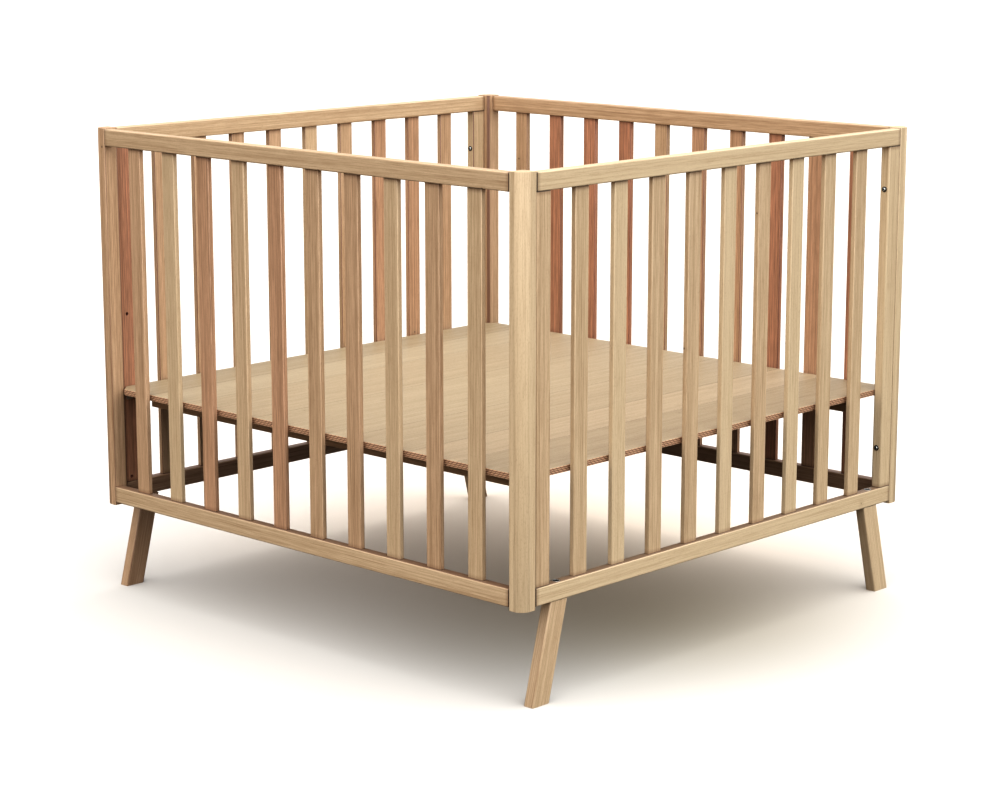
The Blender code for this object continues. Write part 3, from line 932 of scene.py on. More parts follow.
@dataclass
class Board:
    """One board, sawn, rounded and drilled.

    Attributes:
        name: The piece's name.
        low: Lowest corner of the board in the pen.
        high: Highest corner of the board in the pen.
        run: Which way the board lies.
        outward: Direction out of the pen, or zero for a board that has none.
        radius: Radius of its long edges.
        segments: Faces across each long edge.
        arris: Radius of its end edges.
        lean: How far its far end is shifted along its width.
        corner_radii: Radius of each long edge, by the signs of width and thickness.
        cuts: Shapes to take away, with their places in the pen.
        cut: The cut of the tree that it comes from; on some boards the cut also stands for painted
            light and shade.
        hidden: Length of each end inside another board, or nothing for ends in the open.
        sill: Share of painted shade on the board's upward and inward faces.
        flank: Share of painted shade on its narrow faces.
    """

    name: str
    low: Vector
    high: Vector
    run: Run
    outward: Vector
    radius: float = 0.003
    segments: int = 4
    arris: float = 0.0005
    lean: float = 0.0
    corner_radii: dict[tuple[int, int], float] = field(default_factory=dict)
    cuts: list[tuple[bmesh.types.BMesh, Matrix]] = field(default_factory=list)
    cut: Cut = Cut.PLAIN
    hidden: float | None = None
    sill: float = 0.0
    flank: float = 0.0

    @property
    def size(self) -> Vector:
        """The board's length, width and thickness."""
        spread = self.run.turn.to_3x3().transposed() @ (self.high - self.low)
        return Vector(abs(value) for value in spread)

    @property
    def place(self) -> Matrix:
        """From the board's own axes to the pen's, its lean included."""
        shear = Matrix.Identity(4)
        shear[1][0] = self.lean / self.size.x
        return Matrix.Translation((self.low + self.high) / 2) @ self.run.turn @ shear

    def blank(self) -> bmesh.types.BMesh:
        """The sawn board in its own axes, its length along X and its middle at the origin."""
        bm = bmesh.new()
        bmesh.ops.create_cube(bm, size=1.0)
        bmesh.ops.scale(bm, vec=self.size, verts=bm.verts)
        return bm

    def round_long_edges(self, bm: bmesh.types.BMesh) -> None:
        """Round the edges that run along the board.

        Args:
            bm: The sawn board, in its own axes.
        """
        for across in (-1, 1):
            for through in (-1, 1):
                corner = Vector((across * self.size.y / 2, through * self.size.z / 2))
                edges = [
                    edge
                    for edge in bm.edges
                    if all((Vector(vert.co.yz) - corner).length < NEAR for vert in edge.verts)
                ]
                radius = self.corner_radii.get((across, through), self.radius)
                segments = self.segments if radius < 0.01 else 3 * self.segments
                self.bevel(bm, edges, radius, segments)

    def round_ends(self, bm: bmesh.types.BMesh) -> None:
        """Ease the edges around both ends.

        Args:
            bm: The board, in its own axes.
        """
        half = self.size.x / 2
        edges = [
            edge
            for edge in bm.edges
            if all(abs(abs(vert.co.x) - half) < NEAR for vert in edge.verts)
        ]
        self.bevel(bm, edges, self.arris, 2)

    @staticmethod
    def bevel(bm: bmesh.types.BMesh, edges: list, radius: float, segments: int) -> None:
        """Round some edges of a bmesh."""
        bmesh.ops.bevel(
            bm,
            geom=edges,
            offset=radius,
            offset_type="OFFSET",
            segments=segments,
            profile=0.5,
            affect="EDGES",
            clamp_overlap=True,
            material=-1,
        )

    def shape(self) -> bmesh.types.BMesh:
        """The finished board in the pen's frame, with flat faces flat and rounds smooth."""
        bm = self.blank()
        self.round_long_edges(bm)
        self.round_ends(bm)
        for face in bm.faces:
            face.smooth = max(abs(value) for value in face.normal) < FLAT
        bmesh.ops.transform(bm, matrix=self.place, verts=bm.verts)
        if self.cuts:
            bm = carved(bm, merged(self.cuts))
        return bm

    def build(
        self,
        shop: FinishShop,
        finish: TimberFinish,
        body: str = "frame",
        nodes: tuple[str, ...] = (),
    ) -> bpy.types.Object:
        """Make the board a piece of the pen.

        Args:
            shop: Where its material comes from.
            finish: Its finish.
            body: The moving body that it rides on.
            nodes: The solids that it stands for.

        Returns:
            The board's object.
        """
        item = hand_over(self.shape(), self.name, body, [shop.dress(finish)], nodes)
        self.mark(item.data)
        return item

    def mark(self, mesh: bpy.types.Mesh) -> None:
        """Write where each point lies in the board and in its log, and how each face looks.

        Args:
            mesh: The finished board's mesh.
        """
        draw = random.Random(self.name)
        pith = (draw.uniform(0, 60), draw.choice((-1, 1)) * draw.uniform(0.01, 0.05))
        depth = draw.uniform(0.035, 0.095)
        light, red, figure = self.cut.value
        tone = (light + draw.uniform(-0.1, 0.1), red + draw.uniform(-0.05, 0.05), figure)
        open_end = 10.0
        away = open_end if self.hidden is None else self.size.x / 2 - self.hidden
        reach = (away, self.size.y / 2, self.size.z / 2)

        inverse = np.array(self.place.inverted())
        points = np.empty(len(mesh.vertices) * 3, dtype=np.float32)
        mesh.vertices.foreach_get("co", points)
        points = points.reshape(-1, 3) @ inverse[:3, :3].T + inverse[:3, 3]
        grain = points + np.array((*pith, depth))

        normals = np.empty(len(mesh.polygons) * 3, dtype=np.float32)
        mesh.polygons.foreach_get("normal", normals)
        normals = normals.reshape(-1, 3)
        own = normals @ np.array(self.place.to_3x3())
        own /= np.linalg.norm(own, axis=1, keepdims=True)
        ends = np.clip((np.abs(own[:, 0]) - 0.7) / 0.2, 0, 1)
        edges = np.clip((0.999 - np.abs(own).max(axis=1)) * 12, 0, 1)
        # Painted shade from holes, inward edges, the sill and the narrow faces, kept in the faces'
        # marks.
        shaded = self.shaded(mesh, normals, edges)
        shaded = np.maximum(shaded, self.flank * np.clip(2 * np.abs(own[:, 1]) - 1, 0, 1))
        marks = np.stack((shaded, ends, edges), axis=1)

        store_vectors(mesh, "board_at", "POINT", points)
        store_vectors(mesh, "grain_at", "POINT", grain)
        store_vectors(mesh, "board_tone", "POINT", np.tile(tone, (len(points), 1)))
        store_vectors(mesh, "board_reach", "POINT", np.tile(reach, (len(points), 1)))
        store_vectors(mesh, "board_marks", "FACE", marks)

    def shaded(self, mesh: bpy.types.Mesh, normals: np.ndarray, edges: np.ndarray) -> np.ndarray:
        """How much painted shade each face takes: inside holes, on inward edges and on a sill.

        Args:
            mesh: The finished board's mesh.
            normals: Each face's normal in the pen.
            edges: How far each face belongs to a rounded edge.

        Returns:
            A number from 0 to 1 for each face.
        """
        hollow = np.zeros(len(mesh.polygons), dtype=np.int32)
        if "carved" in mesh.attributes:
            mesh.attributes["carved"].data.foreach_get("value", hollow)
        outward = self.outward.normalized() if self.outward.length else Vector()
        inward = np.clip(-2.0 * (normals @ np.array(outward)), 0, 1) * np.clip(2 * edges, 0, 1)
        level = np.clip(1 - 3 * np.abs(normals[:, 2]), 0, 1)
        inner = normals @ np.array(outward) < -0.9
        sill = self.sill * np.maximum(normals[:, 2] > 0.7, 0.7 * inner)
        return np.maximum.reduce((0.85 * hollow, 0.75 * inward * level, sill))


def store_vectors(mesh: bpy.types.Mesh, name: str, domain: str, values: np.ndarray) -> None:
    """Keep one vector for each point or face of a mesh.

    Args:
        mesh: The mesh.
        name: The attribute's name.
        domain: POINT or FACE.
        values: One row for each point or face.
    """
    attribute = mesh.attributes.new(name, "FLOAT_VECTOR", domain)
    attribute.data.foreach_set("vector", np.ascontiguousarray(values, dtype=np.float32).ravel())


def hole(radius: float, depth: float, mouth: float = 0.0004) -> bmesh.types.BMesh:
    """A drill for a blind hole, with a small chamfer at its mouth.

    Args:
        radius: Radius of the hole.
        depth: Depth below the face, along -Z.
        mouth: Width of the chamfer.

    Returns:
        The drill, with the face at its origin.
    """
    return turned(
        [
            (0, ABOVE),
            (radius + mouth + ABOVE, ABOVE),
            (radius, -mouth),
            (radius, -depth),
            (0, -depth - radius * 0.5),
        ]
    )


# --- Sub-assemblies ---------------------------------------------------------------------------
@dataclass
class Joinery:
    """Sizes that the joints of the whole pen share, read from the solids where they show there.

    Attributes:
        fit: Room around each tenon.
        touch: Room between faces that meet.
        tenon: Length of a slat inside a rail.
        bolt_hole: Radius of the holes for the bolts.
        insert: Radius of the holes for the threaded inserts.
        insert_depth: Length of the threaded inserts.
        sill_shade: Share of painted shade on the bottom rails' upward and inward faces.
        side_rail: Height of a side panel's bottom rail.
        sink: Depth of the recess for a leg bolt's head.
        sink_radius: Radius of that recess.
    """

    fit: float = 0.00015
    touch: float = 0.0002
    tenon: float = 0.012
    bolt_hole: float = 0.0033
    insert: float = 0.0045
    insert_depth: float = 0.018
    sill_shade: float = 0.65
    side_rail: float = 0.0295
    sink: float = 0.005
    sink_radius: float = 0.0058

    def slat_mortise(
        self, low: Vector, high: Vector, run: Run, radius: float
    ) -> tuple[bmesh.types.BMesh, Matrix]:
        """A cutter for the pocket that takes a slat's end.

        Args:
            low: Lowest corner of the slat.
            high: Highest corner of the slat.
            run: Which way the slat lies.
            radius: Radius of the slat's edges.

        Returns:
            The cutter and its place.
        """
        room = Vector((self.fit,) * 3)
        pocket = Board("mortise", low - room, high + room, run, Vector(), radius + self.fit)
        bm = pocket.blank()
        pocket.round_long_edges(bm)
        return bm, pocket.place

    def bolt_drills(
        self, side: Side, end: End, low: Vector, high: Vector, radius: float, depth: float
    ) -> list[tuple[bmesh.types.BMesh, Matrix]]:
        """Drills for both panel bolts, entering a post or stile on its face inside the pen.

        Args:
            side: The board's side of the pen.
            end: The board's end of the pen.
            low: Lowest corner of the board.
            high: Highest corner of the board.
            radius: Radius of the holes.
            depth: Depth of the holes.

        Returns:
            The drills and their places.
        """
        face_y = low.y if end is End.BACK else high.y
        drills = []
        for level in BOLT_LEVELS:
            bolt = centre(f"{side.word}_panel_bolt_{end.word}_{level}")
            mouth = Vector((bolt.x, face_y, bolt.z))
            drills.append((hole(radius, depth), aim(mouth, Vector((0, -end.value, 0)))))
        return drills

    def sill(self, level: str) -> float:
        """Share of painted shade on a rail's upward and inward faces."""
        return self.sill_shade if level == "bottom" else 0.0


@dataclass
class CornerPosts:
    """The four posts, each with one large round on its outer corner.

    Attributes:
        shop: Where the materials come from.
        joints: Sizes of the joints.
        outer_radius: Radius of the corner that looks out of the pen.
        inner_radius: Radius of the corner that looks into the pen.
        edge_radius: Radius of the two corners beside the rails.
        arris: Radius of the edges round each end.
        spare_depth: How much deeper than its insert each hole is.
    """

    shop: FinishShop
    joints: Joinery
    outer_radius: float = 0.018
    inner_radius: float = 0.006
    edge_radius: float = 0.0022
    arris: float = 0.0012
    spare_depth: float = 0.003

    def build(self) -> None:
        """Make the four posts."""
        for side in Side:
            for end in End:
                self.post(side, end)

    def post(self, side: Side, end: End) -> None:
        """Make one post.

        Args:
            side: Its side of the pen.
            end: Its end of the pen.
        """
        node = f"post_{end.word}_{side.word}"
        low, high = corners(node)
        sx, sy = side.value, end.value
        radii = {(sx, sy): self.outer_radius, (-sx, -sy): self.inner_radius}
        depth = self.joints.insert_depth + self.spare_depth
        board = Board(
            f"{node}_beech",
            low,
            high,
            Run.UPRIGHT_ACROSS,
            Vector((sx, sy, 0)),
            self.edge_radius,
            arris=self.arris,
            corner_radii=radii,
            cuts=self.joints.bolt_drills(side, end, low, high, self.joints.insert, depth),
            cut=BOARD_CUTS_AND_PAINTED_LIGHT[node],
        )
        board.build(self.shop, POST, nodes=(node,))


@dataclass
class EndPanel:
    """The front or back panel: two rails glued between posts, and ten slats.

    Attributes:
        shop: Where the materials come from.
        joints: Sizes of the joints.
        end: Which end of the pen it closes.
        slat_radius: Radius of the slats' edges.
        rail_radius: Radius of the rails' edges.
        flank: Share of painted shade on the slats' narrow faces.
    """

    shop: FinishShop
    joints: Joinery
    end: End
    slat_radius: float = 0.0013
    rail_radius: float = 0.0022
    flank: float = 0.06

    @property
    def outward(self) -> Vector:
        """Direction out of the pen."""
        return Vector((0, self.end.value, 0))

    def slat_boxes(self) -> list[tuple[str, Vector, Vector]]:
        """Each slat's node and its lowest and highest corners."""
        prefix = f"{self.end.word}_slat_"
        names = sorted(name for name in FRAME["nodes"] if name.startswith(prefix))
        return [(name, *corners(name)) for name in names]

    def build(self) -> None:
        """Make the panel's rails and slats."""
        for level in RAIL_LEVELS:
            self.rail(level)
        for node, low, high in self.slat_boxes():
            board = Board(
                f"{node}_beech",
                low,
                high,
                Run.UPRIGHT_ACROSS,
                self.outward,
                self.slat_radius,
                cut=SLAT_CUTS_AND_PAINTED_LIGHT[self.end.word][int(node[-2:]) - 1],
                hidden=self.joints.tenon,
                flank=self.flank,
            )
            board.build(self.shop, SLAT, nodes=(node,))

    def rail(self, level: str) -> None:
        """Make one rail, with a pocket for each slat.

        Args:
            level: Whether it is the top or bottom rail.
        """
        node = f"{self.end.word}_{level}_rail"
        low, high = corners(node)
        for side in Side:
            post_low, post_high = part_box(f"post_{self.end.word}_{side.word}")
            if side is Side.LEFT:
                low.x = post_high[0] + self.joints.touch
            else:
                high.x = post_low[0] - self.joints.touch
        cuts = [
            self.joints.slat_mortise(slat_low, slat_high, Run.UPRIGHT_ACROSS, self.slat_radius)
            for _, slat_low, slat_high in self.slat_boxes()
        ]
        board = Board(
            f"{node}_beech",
            low,
            high,
            Run.RAIL_ACROSS,
            self.outward,
            self.rail_radius,
            cuts=cuts,
            cut=BOARD_CUTS_AND_PAINTED_LIGHT[node],
            hidden=0.0,
            sill=self.joints.sill(level),
        )
        board.build(self.shop, RAIL, nodes=(node,))


@dataclass
class SidePanel:
    """The left or right panel: a bolted frame of two rails and two stiles, and nine slats.

    Attributes:
        shop: Where the materials come from.
        joints: Sizes of the joints.
        side: Which side of the pen it closes.
        slats: Number of slats.
        slat_width: Width of a slat.
        slat_thickness: Thickness of a slat.
        slat_radius: Radius of the slats' edges.
        rail_radius: Radius of the rails' and stiles' edges.
        rail_arris: Radius of the edges round the rails' ends.
        peg_hole: Radius of the holes that carry the floor.
        peg_depth: Depth of those holes.
        peg_drop: Floor's underside down to the hole that carries it.
    """

    shop: FinishShop
    joints: Joinery
    side: Side
    slats: int = 9
    slat_width: float = 0.031
    slat_thickness: float = 0.009
    slat_radius: float = 0.0013
    rail_radius: float = 0.0022
    rail_arris: float = 0.0009
    peg_hole: float = 0.0028
    peg_depth: float = 0.010
    peg_drop: float = 0.0078

    @property
    def outward(self) -> Vector:
        """Direction out of the pen."""
        return Vector((self.side.value, 0, 0))

    @property
    def comb(self) -> str:
        """The solid that holds the bottom rail and the slats."""
        return f"{self.side.word}_bottom_rail_with_slats"

    def rail_boxes(self) -> dict[str, tuple[Vector, Vector]]:
        """Lowest and highest corners of the bottom and top rails."""
        low, high = corners(self.comb)
        high.z = low.z + self.joints.side_rail
        return {"bottom": (low, high), "top": corners(f"{self.side.word}_top_rail")}

    def slat_boxes(self) -> list[tuple[Vector, Vector]]:
        """Each slat's lowest and highest corners."""
        rails = self.rail_boxes()
        stiles = [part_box(f"{self.side.word}_stile_{end.word}") for end in End]
        start, stop = stiles[0][1][1], stiles[1][0][1]
        gap = (stop - start - self.slats * self.slat_width) / (self.slats + 1)
        x = (rails["top"][0].x + rails["top"][1].x) / 2
        bottom = rails["bottom"][1].z - self.joints.tenon
        top = rails["top"][0].z + self.joints.tenon
        boxes = []
        for number in range(self.slats):
            near = start + gap + number * (self.slat_width + gap)
            half = self.slat_thickness / 2
            low = Vector((x - half, near, bottom))
            boxes.append((low, Vector((x + half, near + self.slat_width, top))))
        return boxes

    def build(self) -> None:
        """Make the panel's rails, slats and stiles."""
        for level in RAIL_LEVELS:
            self.rail(level)
        for number, (low, high) in enumerate(self.slat_boxes(), 1):
            name = f"{self.side.word}_slat_{number:02d}_beech"
            board = Board(
                name,
                low,
                high,
                Run.UPRIGHT_DEEP,
                self.outward,
                self.slat_radius,
                cut=SLAT_CUTS_AND_PAINTED_LIGHT[self.side.word][number - 1],
                hidden=self.joints.tenon,
            )
            board.build(self.shop, SLAT, nodes=(self.comb,))
        for end in End:
            self.stile(end)

    def rail(self, level: str) -> None:
        """Make one rail, with its pockets and the leg bolts' holes.

        Args:
            level: Whether it is the top or bottom rail.
        """
        low, high = self.rail_boxes()[level]
        cuts = [
            self.joints.slat_mortise(slat_low, slat_high, Run.UPRIGHT_DEEP, self.slat_radius)
            for slat_low, slat_high in self.slat_boxes()
        ]
        nodes = (f"{self.side.word}_top_rail",)
        if level == "bottom":
            nodes = (self.comb,)
            cuts += [(self.leg_bolt_drill(), self.leg_bolt_place(end, high.z)) for end in End]
        board = Board(
            f"{self.side.word}_{level}_rail_beech",
            low,
            high,
            Run.RAIL_DEEP,
            self.outward,
            self.rail_radius,
            arris=self.rail_arris,
            cuts=cuts,
            cut=BOARD_CUTS_AND_PAINTED_LIGHT[f"{self.side.word}_{level}_rail"],
            hidden=0.0,
            sill=self.joints.sill(level),
        )
        board.build(self.shop, RAIL, nodes=nodes)

    def leg_bolt_drill(self) -> bmesh.types.BMesh:
        """A stepped drill: the head's recess, then the hole through the rail."""
        through = self.joints.side_rail + ABOVE
        return turned(
            [
                (0, ABOVE),
                (self.joints.sink_radius + ABOVE, ABOVE),
                (self.joints.sink_radius, 0),
                (self.joints.sink_radius, -self.joints.sink),
                (self.joints.bolt_hole, -self.joints.sink),
                (self.joints.bolt_hole, -through),
                (0, -through),
            ]
        )

    def leg_bolt_place(self, end: End, top: float) -> Matrix:
        """Where a leg bolt enters the bottom rail."""
        middle = centre(f"leg_bolt_{end.word}_{self.side.word}")
        return Matrix.Translation((middle.x, middle.y, top))

    def stile(self, end: End) -> None:
        """Make one stile, with two bolt holes and the three holes that carry the floor.

        Args:
            end: Its end of the pen.
        """
        node = f"{self.side.word}_stile_{end.word}"
        low, high = corners(node)
        rails = self.rail_boxes()
        low.z = rails["bottom"][1].z + self.joints.touch
        high.z = rails["top"][0].z - self.joints.touch
        middle = (low + high) / 2
        through = 2 * (high.y - low.y)
        cuts = self.joints.bolt_drills(self.side, end, low, high, self.joints.bolt_hole, through)
        inner = low.x if self.side is Side.RIGHT else high.x
        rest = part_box("floor_board")[0][2] - self.peg_drop
        travel = FRAME["joints"][0]["range_m"]
        for height in (rest + travel[0], rest, rest + travel[1]):
            mouth = Vector((inner, middle.y, height))
            drill = hole(self.peg_hole, self.peg_depth)
            cuts.append((drill, aim(mouth, Vector((-self.side.value, 0, 0)))))
        board = Board(
            f"{node}_beech",
            low,
            high,
            Run.UPRIGHT_DEEP,
            self.outward,
            self.rail_radius,
            cuts=cuts,
            cut=BOARD_CUTS_AND_PAINTED_LIGHT[node],
            hidden=0.0,
        )
        board.build(self.shop, RAIL, nodes=(node,))


@dataclass
class Legs:
    """Four boards that lean out to the front and back under the side rails.

    Attributes:
        shop: Where the material comes from.
        joints: Sizes of the joints.
        edge_radius: Radius of the legs' long edges.
        arris: Radius of the edges round the legs' ends.
        inner_shade: Share of painted shade on the faces that look into the pen and on the upward
            faces.
        flank: Share of painted shade on the narrow faces.
        thread: Depth of the hole for a leg bolt.
    """

    shop: FinishShop
    joints: Joinery
    edge_radius: float = 0.0025
    arris: float = 0.0008
    inner_shade: float = 0.5
    flank: float = 0.16
    thread: float = 0.036

    def build(self) -> None:
        """Make the four legs."""
        for side in Side:
            for end in End:
                self.leg(side, end)

    def leg(self, side: Side, end: End) -> None:
        """Make one leg.

        Args:
            side: Its side of the pen.
            end: Its end of the pen.
        """
        node = f"leg_{end.word}_{side.word}"
        low, high = corners(node)
        bolt = centre(f"leg_bolt_{end.word}_{side.word}")
        foot = low.y if end is End.FRONT else high.y
        brow = high.y if end is End.FRONT else low.y
        width = 2 * (abs(brow - bolt.y))
        splay = abs(foot - brow) - width
        middle = (foot + brow) / 2
        low.y, high.y = middle - width / 2, middle + width / 2
        drill = hole(self.joints.insert, self.thread)
        board = Board(
            f"{node}_beech",
            low,
            high,
            Run.UPRIGHT_DEEP,
            Vector((side.value, 0, 0)),
            self.edge_radius,
            arris=self.arris,
            lean=-end.value * splay,
            cuts=[(drill, Matrix.Translation((bolt.x, bolt.y, high.z)))],
            cut=BOARD_CUTS_AND_PAINTED_LIGHT[node],
            sill=self.inner_shade,
            flank=self.flank,
        )
        board.build(self.shop, LEG, nodes=(node,))


@dataclass
class PlayFloor:
    """The plywood floor, its two battens and the four brackets that carry it.

    Attributes:
        shop: Where the materials come from.
        arris: Radius of the board's edges.
        plate: Thickness of the bracket's steel.
        peg_radius: Radius of the bracket's peg.
        peg_length: Length of the peg inside the stile.
        peg_drop: Floor's underside down to the peg.
    """

    shop: FinishShop
    arris: float = 0.0007
    plate: float = 0.0018
    peg_radius: float = 0.0024
    peg_length: float = 0.0085
    peg_drop: float = 0.0078

    def build(self) -> None:
        """Make the floor and all that moves with it."""
        self.board()
        for end in End:
            node = f"floor_batten_{end.word}"
            low, high = corners(node)
            batten = Board(f"{node}_beech", low, high, Run.RAIL_ACROSS, Vector(), 0.0015)
            batten.build(self.shop, BATTEN, body="floor", nodes=(node,))
            for side in Side:
                self.bracket(side, end)

    def corner_length(self) -> float:
        """Length of the corner cut, from the solid board's own corners."""
        mesh = FRAME["nodes"]["floor_board"].data
        high = Vector(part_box("floor_board")[1])
        along = [vert.co.x for vert in mesh.vertices if abs(vert.co.y - high.y) < 1e-5]
        return high.x - max(along)

    def board(self) -> None:
        """Make the plywood board."""
        node = "floor_board"
        low, high = corners(node)
        sheet = Board(f"{node}_plywood", low, high, Run.FLAT_DEEP, Vector())
        bm = sheet.blank()
        upright = [edge for edge in bm.edges if edge.verts[0].co.z * edge.verts[1].co.z < 0]
        Board.bevel(bm, upright, self.corner_length(), 1)
        half = sheet.size.z / 2
        rim = [
            edge
            for edge in bm.edges
            if all(abs(abs(vert.co.z) - half) < NEAR for vert in edge.verts)
        ]
        Board.bevel(bm, rim, self.arris, 2)
        for face in bm.faces:
            face.material_index = 1 if abs(face.normal.z) < 0.5 else 0
            face.smooth = max(abs(value) for value in face.normal) < FLAT
        bmesh.ops.transform(bm, matrix=sheet.place, verts=bm.verts)
        edge_finish = PlyEdgeFinish("ply_edge", "floor_plywood", high.z - low.z)
        materials = [self.shop.dress(VENEER), self.shop.dress(edge_finish)]
        item = hand_over(bm, sheet.name, "floor", materials, (node,))
        sheet.mark(item.data)

    def bracket(self, side: Side, end: End) -> None:
        """Make one bracket: a bent plate, and the peg that hangs it on the stile.

        Args:
            side: Its side of the pen.
            end: Its end of the pen.
        """
        node = f"floor_bracket_{end.word}_{side.word}"
        low, high = corners(node)
        reach, width, drop = high - low
        bm = bmesh.new()
        outline = [(0, 0), (reach, 0), (reach, -self.plate), (self.plate, -self.plate)]
        outline += [(self.plate, -drop), (0, -drop)]
        verts = [bm.verts.new((across, -width / 2, height)) for across, height in outline]
        face = bm.faces.new(verts)
        sweep = bmesh.ops.extrude_face_region(bm, geom=[face])
        moved = [item for item in sweep["geom"] if isinstance(item, bmesh.types.BMVert)]
        bmesh.ops.translate(bm, vec=(0, width, 0), verts=moved)
        bmesh.ops.recalc_face_normals(bm, faces=bm.faces)
        bend = [
            edge
            for edge in bm.edges
            if abs(edge.verts[0].co.y - edge.verts[1].co.y) > width / 2
            and edge.verts[0].co.x < self.plate * 1.1
            and edge.verts[0].co.z > -self.plate * 1.1
        ]
        Board.bevel(bm, bend, self.plate * 0.6, 3)
        Board.bevel(bm, [edge for edge in bm.edges if not edge.is_boundary], 0.0002, 1)
        wall = high.x if side is Side.RIGHT else low.x
        flip = Matrix.Diagonal((-side.value, 1, 1, 1))
        middle = (low.y + high.y) / 2
        place = Matrix.Translation((wall, middle, high.z)) @ flip
        bmesh.ops.transform(bm, matrix=place, verts=bm.verts)
        if side is Side.RIGHT:
            bmesh.ops.recalc_face_normals(bm, faces=bm.faces)
        zinc = self.shop.dress(ZINC)
        hand_over(bm, f"{node}_steel", "floor", [zinc], (node,))

        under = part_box("floor_board")[0][2]
        seat = Vector((wall - side.value * self.plate, middle, under - self.peg_drop))
        peg = turned(
            [
                (0, 0.0016),
                (0.0022, 0.0014),
                (0.0036, 0.0007),
                (0.0038, 0.0001),
                (self.peg_radius, 0.0001),
                (self.peg_radius, -self.plate - self.peg_length),
                (self.peg_radius * 0.7, -self.plate - self.peg_length - 0.0006),
                (0, -self.plate - self.peg_length - 0.0006),
            ],
            20,
        )
        bmesh.ops.transform(peg, matrix=aim(seat, Vector((-side.value, 0, 0))), verts=peg.verts)
        hand_over(peg, f"floor_peg_{end.word}_{side.word}", "floor", [zinc])


@dataclass
class Hardware:
    """The bolts that hold the panels and legs, and the threaded inserts that they turn into.

    Attributes:
        shop: Where the materials come from.
        joints: Sizes of the joints.
        shank: Radius of a bolt's shank.
        head: Radius of a bolt's head.
        dome: Height of a bolt's head.
        socket: Radius of a panel bolt's hexagon socket, across its corners.
        leg_head: Radius of a leg bolt's head.
        leg_socket: Radius of a leg bolt's hexagon socket, across its corners.
        cup: Radius inside the steel cup that lines a leg bolt's recess.
        lip: Radius of the cup's lip, which lies on the rail.
        lip_height: How proud the lip stands.
        socket_depth: Depth of the hexagon socket.
        collar: Radius of the blacked collar under a panel bolt's head.
        collar_height: Height of that collar, half of it round the head.
        mouth_depth: Depth of a panel bolt's insert below the post's face.
        leg_mouth_depth: Depth of a leg bolt's insert below the leg's top.
        thread_pitch: Distance between threads.
        thread_run: Length of a bolt's thread.
    """

    shop: FinishShop
    joints: Joinery
    shank: float = 0.003
    head: float = 0.0031
    dome: float = 0.0024
    socket: float = 0.0019
    leg_head: float = 0.0049
    leg_socket: float = 0.0033
    cup: float = 0.0051
    lip: float = 0.0067
    lip_height: float = 0.0004
    socket_depth: float = 0.0018
    collar: float = 0.0049
    collar_height: float = 0.0016
    mouth_depth: float = 0.0003
    leg_mouth_depth: float = 0.001
    thread_pitch: float = 0.0010
    thread_run: float = 0.017

    def build(self) -> None:
        """Make every bolt, collar and insert."""
        for side in Side:
            for end in End:
                for level in BOLT_LEVELS:
                    self.panel_bolt(side, end, level)
                self.leg_bolt(side, end)

    def bolt_shape(self, head: float, length: float, socket: float) -> bmesh.types.BMesh:
        """A domed bolt that points down, with its seat at the origin.

        Args:
            head: Radius of its head.
            length: From under the head to the tip.
            socket: Radius of its hexagon socket, across the corners.

        Returns:
            The bolt, with the socket's faces set to its second material, whose black paints the
            shade inside the socket.
        """
        steps = 6
        quarter = [step / steps * math.pi / 2 for step in range(steps + 1)]
        profile = [(head * math.sin(angle), self.dome * math.cos(angle)) for angle in quarter]
        profile += [(head, 0.0), (self.shank * 0.9, 0.0)]
        depth = length - self.thread_run
        profile.append((self.shank * 0.9, -depth))
        while depth < length - 2 * self.thread_pitch:
            profile.append((self.shank, -depth - self.thread_pitch * 0.25))
            profile.append((self.shank * 0.84, -depth - self.thread_pitch * 0.75))
            depth += self.thread_pitch
        profile += [(self.shank * 0.6, -length), (0, -length)]
        key = bmesh.new()
        bmesh.ops.create_cone(
            key,
            cap_ends=True,
            segments=6,
            radius1=socket,
            radius2=socket,
            depth=2 * self.socket_depth,
        )
        bmesh.ops.translate(key, vec=(0, 0, self.dome), verts=key.verts)
        bolt = carved(turned(profile), key)
        # Painted shade: the socket's faces take the black second material.
        socket_faces = bolt.faces.layers.int["carved"]
        for face in bolt.faces:
            face.material_index = face[socket_faces]
        return bolt

    def ring(self, outer: float, inner: float, height: float) -> bmesh.types.BMesh:
        """A collar with rounded rims, its underside at the origin."""
        return turned(
            [
                (inner, height * 0.9),
                (inner + height * 0.2, height),
                (outer - height * 0.5, height),
                (outer - height * 0.1, height * 0.7),
                (outer, height * 0.3),
                (outer, 0),
                (inner, 0),
                (inner, height * 0.9),
            ]
        )

    def insert_shape(self, length: float) -> bmesh.types.BMesh:
        """A threaded insert that points down, its mouth at the origin."""
        outer = self.joints.insert - 0.0001
        inner = self.shank + 0.0001
        profile = [(inner, 0), (outer, 0), (outer, -0.0012)]
        depth = 0.0012
        pitch = 2 * self.thread_pitch
        while depth < length - 2 * pitch:
            profile.append((outer - 0.0007, -depth - pitch * 0.4))
            profile.append((outer, -depth - pitch * 0.8))
            depth += pitch
        profile += [(outer - 0.0006, -length), (inner, -length), (inner, 0)]
        return turned(profile)

    def cup_shape(self) -> bmesh.types.BMesh:
        """A recess's lining with a lip, the rail's top at its origin and painted black inside as
        shade.
        """
        outer = self.joints.sink_radius - 0.0001
        soft = 0.00015
        bm = turned(
            [
                (self.cup, self.lip_height - soft),
                (self.cup + soft, self.lip_height),
                (self.lip - soft, self.lip_height),
                (self.lip, self.lip_height - soft),
                (self.lip, self.joints.fit / 2),
                (outer, self.joints.fit / 2),
                (outer, self.joints.fit - self.joints.sink),
                (self.cup, self.joints.fit - self.joints.sink),
                (self.cup, self.lip_height - soft),
            ]
        )
        # Painted shade: the faces inside the cup take the black second material.
        for face in bm.faces:
            face.material_index = face.calc_center_median().xy.length < self.cup
        return bm

